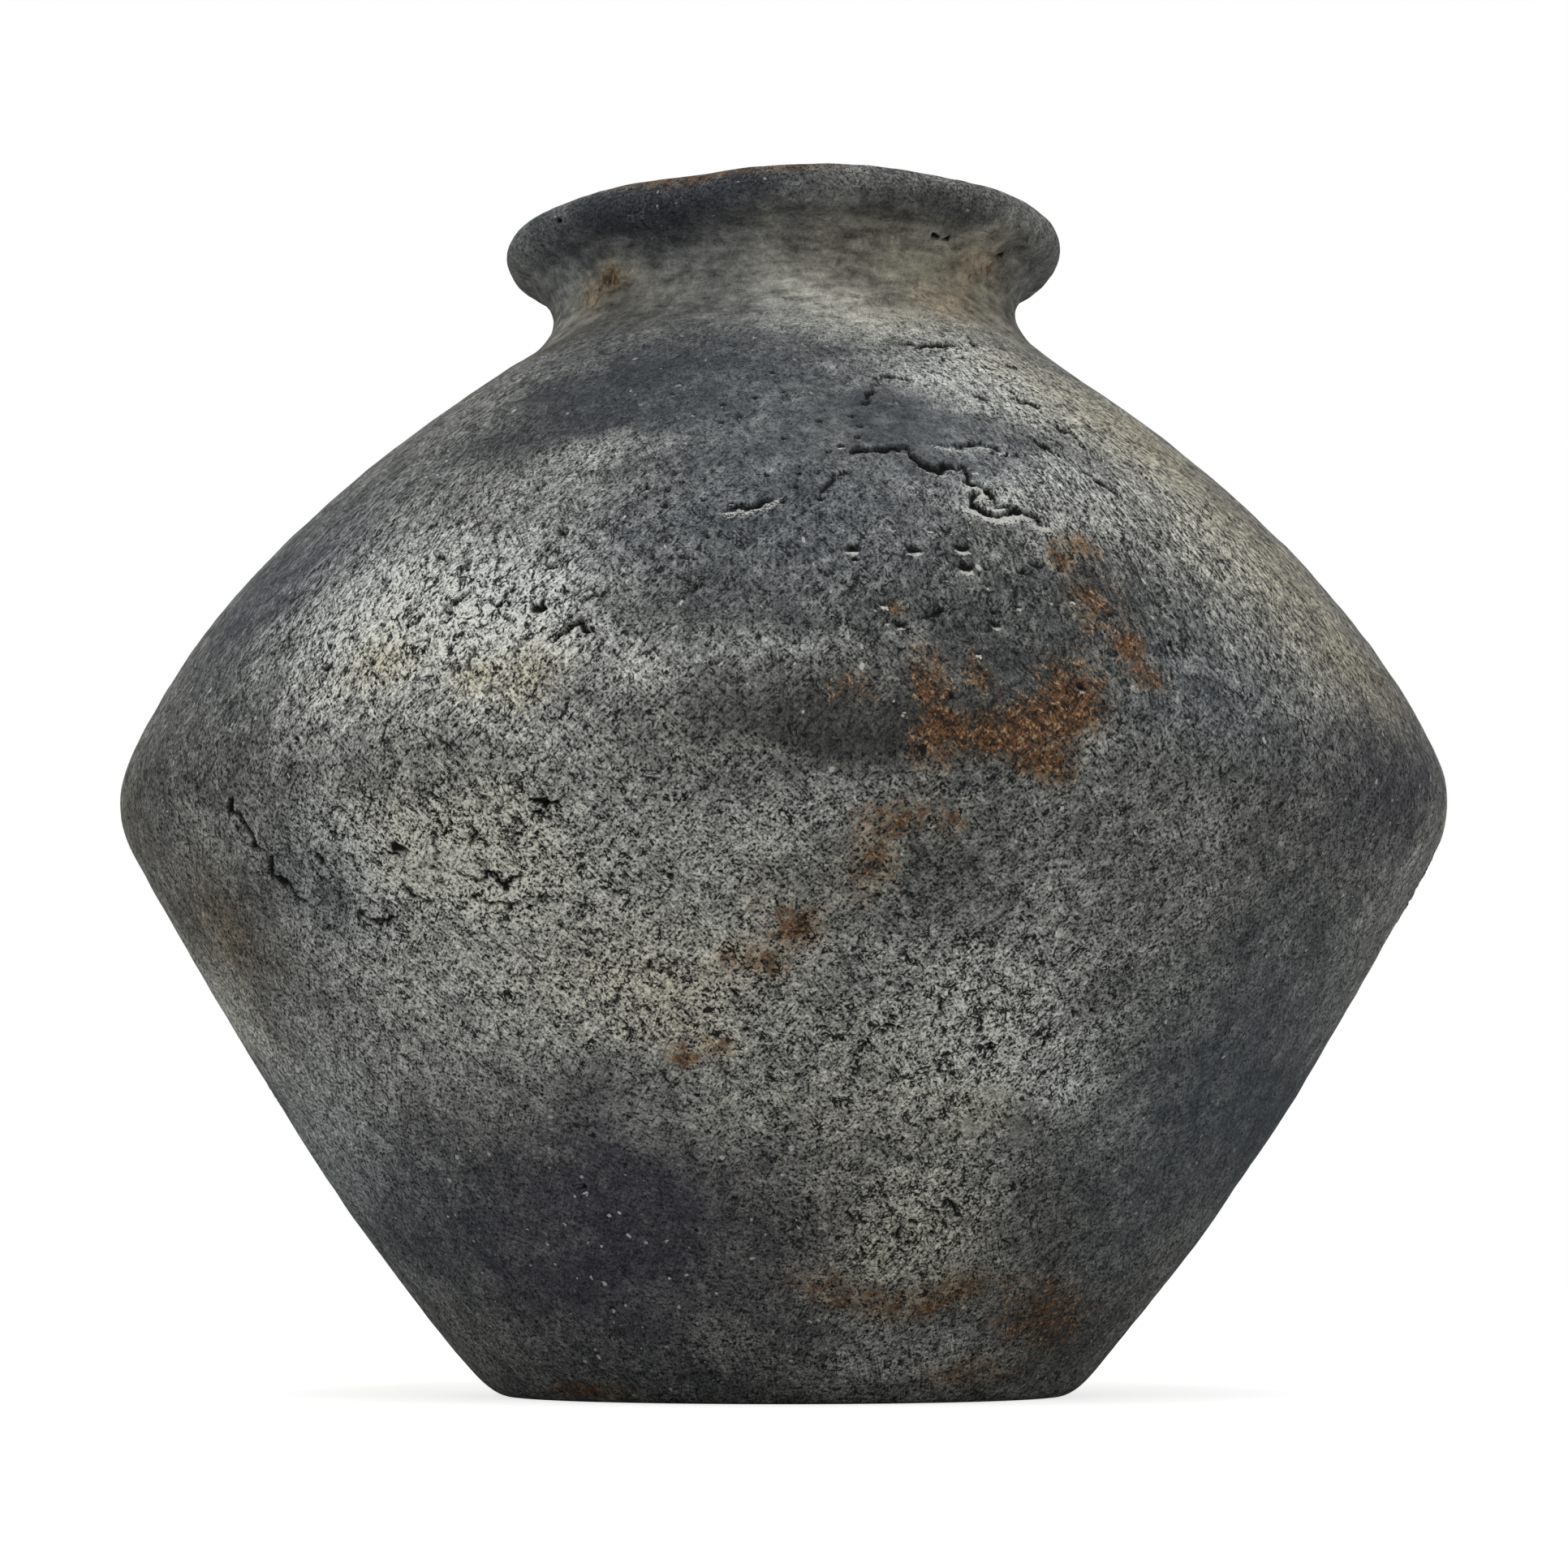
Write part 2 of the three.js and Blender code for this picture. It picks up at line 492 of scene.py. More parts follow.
    def finish(self, colour: Wire, roughness: Wire, normal: Wire) -> None:
        """Adds a dry clay's shader and joins it to the material's output."""
        shader = self.add("ShaderNodeBsdfPrincipled", None, {
            "Base Color": colour, "Roughness": roughness, "Normal": normal,
            "Specular IOR Level": DRY_GLOSS})
        self.add("ShaderNodeOutputMaterial", None, {"Surface": shader})


def new_material(name: str) -> tuple[bpy.types.Material, NodeSheet]:
    """Makes an empty node material.

    Args:
        name: The material's name.

    Returns:
        The material and its sheet.
    """
    material = bpy.data.materials.new(name)
    material.use_nodes = True
    return material, NodeSheet(material.node_tree)


class ClayGrain:
    """What the weathered finish is mixed from: painted layers, grains, strokes and dents.

    Sizes are in millimetres.
    """

    drum: float = 130.0
    draw_out: float = 0.14
    slant: float = 0.0065

    def __init__(self, sheet: NodeSheet, size: float) -> None:
        """Reads the layers and adds the grains.

        Args:
            sheet: The material's sheet.
            size: Size of a common grain.
        """
        self.sheet = sheet
        self.size = size
        self.layers = {layer: sheet.layer(layer) for layer in Layer}
        self.pores = self.layers[Layer.PORES]
        self.open_skin = sheet.step(self.pores, -0.9, 0.2)
        self.place = sheet.place()
        self.wall = sheet.add("ShaderNodeAttribute", {"attribute_name": WALL_PLACE}, output="Vector")
        self.sway = sheet.add("ShaderNodeTexNoise", None, {"Vector": self.wall, "Scale": 0.7}, "Color")
        self.bent = sheet.shifted(self.wall, self.sway, 1.5)
        self.lined = self.on_drum()
        self.strand = sheet.grain(self.bent, size, 1.5, 0.55)
        self.sand = sheet.grain(self.place, 0.5 * size, 1.0, 0.5)
        self.fleck = sheet.grain(self.place, 2.8, 2.0, 0.6, 0.6)
        self.lump, self.salt = sheet.cells(self.bent, 0.8 * size)
        self.spot, self.chance = sheet.cells(self.bent, 2.0)
        self.hatch = self.hatching()
        self.comb = self.combing()
        self.grit_and_shading = self.mix_grit_and_shading()
        self.dent = self.dents()

    def on_drum(self) -> Wire:
        """Maps the wall to an upright drum, so that strokes can be drawn out along it.

        Returns:
            The place on the drum.
        """
        level = self.sheet.vector("MULTIPLY", self.place, (1, 1, 0))
        upright = self.sheet.vector("MULTIPLY", self.place, (0, 0, 1))
        return self.sheet.shifted(upright, self.sheet.vector("NORMALIZE", level), self.drum)

    def scratches(self, turn: Wire) -> Wire:
        """Adds fine strokes that slant by turning about the axis as they climb.

        Args:
            turn: How far they have turned at a height, in radians.

        Returns:
            The strokes, about zero.
        """
        turned = self.sheet.add("ShaderNodeVectorRotate", {"rotation_type": "Z_AXIS"},
                                {"Vector": self.lined, "Angle": turn})
        drawn = self.sheet.vector("MULTIPLY", turned, (1, 1, self.draw_out))
        return self.sheet.grain(drawn, 0.55 * self.size, 2.0, 0.6, 0.4)

    def hatching(self) -> Wire:
        """Adds rising and falling scratches, in patches of either.

        Returns:
            The scratches, about zero.
        """
        climb = self.sheet.add("ShaderNodeSeparateXYZ", None, {"Vector": self.place}, "Z")
        weave = self.sheet.step(self.sheet.grain(self.place, 6.0, 2.0, 0.5), -0.08, 0.08)
        rising, falling = (self.scratches(climb * slant) for slant in (self.slant, -self.slant))
        return rising * weave + falling * (1 - weave)

    def combing(self) -> Wire:
        """Adds upright strokes, strongest where the brush went.

        Returns:
            The strokes, about zero.
        """
        drawn = self.sheet.vector("MULTIPLY", self.lined, (1, 1, 0.16))
        stroke = self.sheet.grain(drawn, 0.6 * self.size, 2.0, 0.6, 0.4)
        return stroke * (self.layers[Layer.BRUSH] + 0.3) * self.open_skin * self.open_skin

    def mix_grit_and_shading(self) -> Wire:
        """Mixes the grains that make the surface lighter and darker, with painted relief shade and painted
        highlights on thin ridges.

        Returns:
            The grains with the painted shade and highlights, about zero.
        """
        sheet, open_skin = self.sheet, self.open_skin
        # painted relief shade: the grain minus the same grain read a little higher up is lighter where the
        # surface falls away upward and darker where it rises, as if lit from above
        place_above_for_shade = sheet.vector("ADD", self.bent, (0, 0, 0.35 * self.size))
        above = sheet.grain(place_above_for_shade, self.size, 1.5, 0.55)
        grit_and_shading = sheet.weighed((self.strand - above, 2.7), (self.sand, 2.6), (self.salt - 0.5, 0.8),
                             (0.45 - self.lump, 0.5), (self.hatch, 2.4))
        across = sheet.vector("MULTIPLY", self.place, (0.3, 0.3, 1))
        wipe = sheet.grain(across, 2.0, 2.0, 0.6) * sheet.step(self.pores, -0.3, -0.7)
        # painted highlights along thin winding ridges of the open skin
        vein = abs(sheet.grain(self.bent, 1.7 * self.size, 1.0, 0.5, 0.5))
        ridge_highlight = sheet.step(vein, 0.045, 0.01) * sheet.step(self.fleck, -0.08, 0.08) * open_skin
        return grit_and_shading * (open_skin * 1.1 + 0.2) + sheet.weighed((self.comb, 3.2), (wipe, 2.2), (ridge_highlight, 0.7))

    def dents(self) -> Wire:
        """Adds crevices, round holes and upright cuts, more of them where the clay is porous. The finish
        paints shade into them.

        Returns:
            The dents, from 0 to 1.
        """
        sheet, pores = self.sheet, self.pores
        gate = sheet.grain(self.place, 3.6, 1.0, 0.5)
        fold = abs(sheet.grain(self.wall, 2.2, 1.5, 0.5, 0.7))
        crevice = sheet.step(fold, 0.040, 0.015) * sheet.step(gate + pores * 0.35, 0.13, 0.21)
        drawn = sheet.vector("MULTIPLY", sheet.shifted(self.lined, self.sway, 2.5), (1, 1, 0.28))
        slit, luck = sheet.cells(drawn, 1.5)
        hole = sheet.step(self.spot - (self.chance - 0.53) * 0.45 - pores * 0.14, 0.03, -0.03)
        cut = sheet.step(slit - (luck - 0.52) * 0.45 - pores * 0.14, 0.03, -0.03)
        return crevice.larger(hole.larger(cut))


@dataclass(frozen=True)
class WeatheredClay:
    """Smoked stoneware under a worn, sandy ash slip, with rust where iron bled through."""

    charcoal: Colour = paint(58, 60, 61)
    slate: Colour = paint(55, 63, 69)
    plum: Colour = paint(63, 62, 73)
    ash: Colour = paint(248, 249, 240)
    frost: Colour = paint(235, 242, 243)
    tan: Colour = paint(228, 217, 184)
    umber: Colour = paint(80, 72, 60)
    rust: Colour = paint(132, 89, 54)
    deep_rust: Colour = paint(48, 37, 28)
    ochre_tint: Colour = (1.16, 0.93, 0.66)
    # near black, for painted shade in dents, cracks and pits
    shade_black: Colour = paint(15, 15, 14)
    # pale specks and lower edges, partly chalk and partly painted glints and highlights
    chalk_and_highlight: Colour = paint(226, 225, 219)
    grain: float = 1.0
    cover: float = 0.74
    roughness: float = 0.93

    def material(self) -> bpy.types.Material:
        """Builds the finish.

        Returns:
            The material.
        """
        material, sheet = new_material("weathered_clay")
        clay = ClayGrain(sheet, self.grain)
        pale = self.slip_share(clay)
        colour = self.rusted(clay, self.slipped(clay, pale))
        height = sheet.weighed((clay.strand, 1.1), (clay.hatch, 0.6), (clay.sand, 0.5),
                               (clay.lump, -0.35), (clay.fleck, 1.1), (clay.dent, -0.5))
        sheet.finish(
            self.worn(clay, colour),
            self.roughness + sheet.weighed((pale, -0.05), (clay.sand, 0.1)),
            sheet.bump(height, 1.0))
        return material

    def slip_share(self, clay: ClayGrain) -> Wire:
        """Finds how much of the pale slip is left.

        Args:
            clay: The grains.

        Returns:
            The slip's share, from 0 to 1.
        """
        sheet = clay.sheet
        drift = sheet.grain(clay.place, 9.0, 3.0, 0.6, 0.3)
        laid = clay.layers[Layer.ASH] + drift * 0.55 + clay.fleck * 0.3
        base = sheet.step(laid, 0.0, 1.3) * self.cover
        return sheet.clamped(base * (clay.grit_and_shading + clay.fleck * 0.8 + 0.875) + clay.comb * 0.4)

    def slipped(self, clay: ClayGrain, pale: Wire) -> Wire:
        """Lays the slip over the smoked body, with pale specks on it that are partly chalk grains and
        partly painted glints.

        Args:
            clay: The grains.
            pale: The slip's share.

        Returns:
            The colour.
        """
        sheet = clay.sheet
        tan, blue, plum = (clay.layers[layer] for layer in (Layer.TAN, Layer.BLUE, Layer.PLUM))
        body = sheet.blend(blue, self.charcoal, self.slate)
        body = sheet.blend(plum, body, self.plum)
        body = sheet.blend(tan * 0.6, body, self.umber)
        body = sheet.scaled(body, clay.grit_and_shading * (plum * 0.3 + 0.65) + 1)
        slip = sheet.blend(tan, sheet.blend(blue, self.ash, self.frost), self.tan)
        # pale specks, partly chalk grains and partly painted glints
        speck_and_glint = sheet.step(clay.spot + clay.chance - plum * 0.1, 0.34, 0.26)
        showing = (clay.open_skin * 0.7).larger(plum * 0.9)
        return sheet.blend(speck_and_glint * showing, sheet.blend(pale, body, slip), self.chalk_and_highlight)

    def rusted(self, clay: ClayGrain, colour: Wire) -> Wire:
        """Lets iron bleed through as an ochre haze and a grainy crust of rust.

        Args:
            clay: The grains.
            colour: The colour so far.

        Returns:
            The colour with rust.
        """
        sheet, stain = clay.sheet, clay.layers[Layer.RUST]
        haze = sheet.step(stain, 0.0, 0.45) * 0.6
        colour = sheet.blend(haze, colour, sheet.vector("MULTIPLY", colour, self.ochre_tint))
        bleed = sheet.grain(clay.place, 4.0, 4.0, 0.7, 1.0)
        iron = stain + bleed * 1.8 + clay.grit_and_shading * 0.2
        iron = sheet.step(iron, 0.28, 0.58) * sheet.step(stain, 0.03, 0.16)
        crust = sheet.weighed((clay.grit_and_shading, 0.8), (clay.fleck, 2))
        rust = sheet.blend(sheet.step(crust, -0.7, 0.9), self.deep_rust, self.rust)
        rust = sheet.blend(sheet.step(crust, 0.6, 1.3) * 0.4, rust, self.tan)
        return sheet.blend(iron * 0.88, colour, rust)

    def worn(self, clay: ClayGrain, colour: Wire) -> Wire:
        """Paints shade into dents, cracks and pits and whitens their lower edges, which are partly chipped
        slip and partly painted highlight.

        Args:
            clay: The grains.
            colour: The colour so far.

        Returns:
            The worn colour.
        """
        sheet = clay.sheet
        # painted shade: the dents are darkened nearly to black
        colour = sheet.blend(clay.dent * 0.97, colour, self.shade_black)
        # pale lower edges of cracks and pits: partly chipped slip, partly painted highlight
        white = sheet.step(clay.layers[Layer.CHIP_AND_HIGHLIGHT] + clay.sand * 0.9, 0.30, 0.50)
        colour = sheet.blend(white * 0.85, colour, self.chalk_and_highlight)
        # painted shade inside cracks and in the upper part of pits
        return sheet.blend(clay.layers[Layer.HOLLOW_SHADE], colour, self.shade_black)


@dataclass(frozen=True)
class BareClay:
    """Fired clay without slip, as it is left inside."""

    clay: Colour = paint(112, 100, 88)
    dark: Colour = paint(72, 64, 57)
    roughness: float = 0.96

    def material(self) -> bpy.types.Material:
        """Builds the finish.

        Returns:
            The material.
        """
        material, sheet = new_material("bare_clay")
        place = sheet.place()
        smear = sheet.grain(place, 7.0, 4.0, 0.6)
        sand = sheet.grain(place, 0.7, 2.0, 0.6)
        share = sheet.step(sheet.weighed((smear, 0.9), (sand, 0.8)), -0.3, 0.3)
        sheet.finish(
            sheet.blend(share, self.dark, self.clay),
            self.roughness + sand * 0.06,
            sheet.bump(sheet.weighed((smear, 0.8), (sand, 0.4)), 0.7))
        return material


@dataclass(frozen=True)
class Outline:
    """The sizes of the vase's cross-section. Leans are in degrees from upright."""

    foot_radius: float = 66.2
    foot_rounding: float = 3.7
    foot_rise: float = 6.0
    belly_radius: float = 152.5
    belly_height: float = 134.0
    belly_rounding: float = 21.0
    lower_lean: float = 28.5
    lower_swell: float = 6.8
    shoulder_lean: float = 21.0
    neck_radius: float = 54.6
    neck_height: float = 251.0
    root_spread: float = 9.8
    root_drop: float = 14.0
    root_lean: float = 54.0
    flare_spread: float = 5.9
    flare_rise: float = 9.5
    flare_lean: float = 47.0
    lip_swell: float = 1.1
    wall: float = 9.0
    floor: float = 10.0
    floor_lap: float = 5.0
    seam_gap: float = 0.3

    @staticmethod
    def heading(lean: float) -> np.ndarray:
        """Gives the direction up a wall with a lean."""
        return np.array([math.sin(math.radians(lean)), math.cos(math.radians(lean))])

    def span(self, start: np.ndarray, leaving: float, end: np.ndarray, arriving: float) -> np.ndarray:
        """Draws a smooth span between two points at the given leans.

        Args:
            start: First point, radius and height.
            leaving: Lean at the first point.
            end: Last point.
            arriving: Lean at the last point.

        Returns:
            Points along the span.
        """
        handle = np.linalg.norm(end - start) / 3
        second = start + self.heading(leaving) * handle
        third = end - self.heading(arriving) * handle
        t = np.linspace(0, 1, SPAN_POINTS)[:, None]
        return ((1 - t) ** 3 * start + 3 * t * (1 - t) ** 2 * second
                + 3 * t ** 2 * (1 - t) * third + t ** 3 * end)

    def belly_arc(self, first: float, last: float) -> np.ndarray:
        """Draws the round of the belly.

        Args:
            first: First angle in degrees up from level.
            last: Last angle.

        Returns:
            Points along it, radius and height.
        """
        turn = np.radians(np.linspace(first, last, ARC_POINTS))
        middle = np.array([self.belly_radius - self.belly_rounding, self.belly_height])
        return middle + self.belly_rounding * np.stack([np.cos(turn), np.sin(turn)], axis=1)

    def spans(self) -> list[np.ndarray]:
        """Draws the outside from the edge of the foot to the flare.

        Returns:
            The spans in order: foot edge, lower wall with the belly's underside, shoulder with
            the belly's upper side, neck root, flare.
        """
        under = self.belly_arc(-self.lower_lean, 0)
        over = self.belly_arc(0, self.shoulder_lean)
        corner = np.array([self.foot_radius, 0])
        chord = under[0] - corner
        lean = math.degrees(math.atan2(*chord)) + self.lower_swell
        top = corner + [self.foot_rise * math.tan(math.radians(lean)), self.foot_rise]
        flat = corner - [self.foot_rounding, 0]
        root = np.array([self.neck_radius + self.root_spread, self.neck_height - self.root_drop])
        neck = np.array([self.neck_radius, self.neck_height])
        flare = neck + [self.flare_spread, self.flare_rise]
        t = np.linspace(0, 1, EDGE_POINTS)[:, None]
        edge = (1 - t) ** 2 * flat + 2 * t * (1 - t) * corner + t ** 2 * top
        lower = np.concatenate([self.span(top, lean, under[0], self.lower_lean), under[1:]])
        shoulder = self.span(over[-1], -self.shoulder_lean, root, -self.root_lean)
        return [edge, lower, np.concatenate([over, shoulder[1:]]),
                self.span(root, -self.root_lean, neck, 0),
                self.span(neck, 0, flare, self.flare_lean)]


class WallLine:
    """The outside of the wall as one line, with places measured along it."""

    def __init__(self, outline: Outline) -> None:
        """Joins the outline's spans and finds its seams.

        Args:
            outline: The sizes.
        """
        self.outline = outline
        spans = outline.spans()
        joined = [spans[0], *(span[1:] for span in spans[1:])]
        self.points = np.concatenate(joined)
        steps = np.linalg.norm(np.diff(self.points, axis=0), axis=1)
        self.distances = np.concatenate([[0], np.cumsum(steps)])
        ends = np.cumsum([len(span) for span in joined]) - 1
        self.belly, self.root, self.flare = self.distances[ends[[1, 2, 4]]]
        inside = self.clay(self.distances, outline.wall)[:, 1]
        reached = np.argmax(inside > outline.floor + outline.floor_lap)
        self.foot = self.distances[reached]

    def clay(self, distance: np.ndarray, depth: float = 0.0) -> np.ndarray:
        """Gives points at distances along the wall and a depth into the clay.

        Args:
            distance: Distances along the outside.
            depth: Depth under the outside.

        Returns:
            Points, radius and height.
        """
        upward = self.upward(distance)
        inward = np.stack([-upward[..., 1], upward[..., 0]], axis=-1)
        return self.surface(distance) + inward * depth

    def surface(self, distance: np.ndarray) -> np.ndarray:
        """Gives points of the outside at distances along it."""
        return np.stack([np.interp(distance, self.distances, self.points[:, axis])
                         for axis in (0, 1)], axis=-1)

    def upward(self, distance: np.ndarray) -> np.ndarray:
        """Gives the directions up the wall.

        Args:
            distance: Distances along the outside.

        Returns:
            The directions, radius and height.
        """
        reach = 0.25
        low = np.clip(distance - reach, 0, self.distances[-1])
        high = np.clip(distance + reach, 0, self.distances[-1])
        change = self.surface(high) - self.surface(low)
        return change / np.linalg.norm(change, axis=-1, keepdims=True)

    def distance_at(self, height: np.ndarray | float) -> np.ndarray:
        """Gives the distance along the wall at a height."""
        return np.interp(height, self.points[:, 1], self.distances)

    def lip(self, spacing: float) -> np.ndarray:
        """Draws the round of the lip from the outside of the flare to its inside.

        Args:
            spacing: Distance between points.

        Returns:
            Points, radius and height, both ends left out.
        """
        half = self.outline.wall / 2
        rounding = half + self.outline.lip_swell
        rise = math.sqrt(rounding ** 2 - half ** 2)
        upward = self.outline.heading(self.outline.flare_lean)
        inward = np.array([-upward[1], upward[0]])
        middle = self.points[-1] + inward * half + upward * rise
        dip = math.atan2(rise, half)
        count = round(rounding * (math.pi + 2 * dip) / spacing)
        turn = np.linspace(-dip, math.pi + dip, count + 1)[1:-1, None]
        return middle + rounding * (np.sin(turn) * upward - np.cos(turn) * inward)


@dataclass(frozen=True)
class Patch:
    """A soft cloud of one layer, with half sizes along the ring and up the wall."""

    layer: Layer
    azimuth: float
    height: float
    width: float
    length: float
    amount: float
    turn: float = 0.0


@dataclass(frozen=True)
class Crack:
    """A ragged crack whose upper edge has lifted, through points of azimuth and height."""

    points: tuple[tuple[float, float], ...]
    width: float = 0.7
    depth: float = 1.0
    lift: float = 0.25
    chip_and_highlight: float = 0.2


@dataclass(frozen=True)
class Pit:
    """A burst bubble in the clay, with its deeper side up, painted shadow in its upper part and a pale
    lower edge that is partly chipped and partly painted highlight.
    """

    azimuth: float
    height: float
    radius: float
    depth: float
    chip_and_highlight: float = 0.3
    flat: float = 1.0


Mark = Union[Pit, Crack]


def patches(layer: Layer, *rows: tuple[float, ...]) -> list[Patch]:
    """Makes the patches of one layer.

    Args:
        layer: The layer.
        rows: For each patch its azimuth, height, half sizes, amount, and maybe its turn.

    Returns:
        The patches.
    """
    return [Patch(layer, *row) for row in rows]


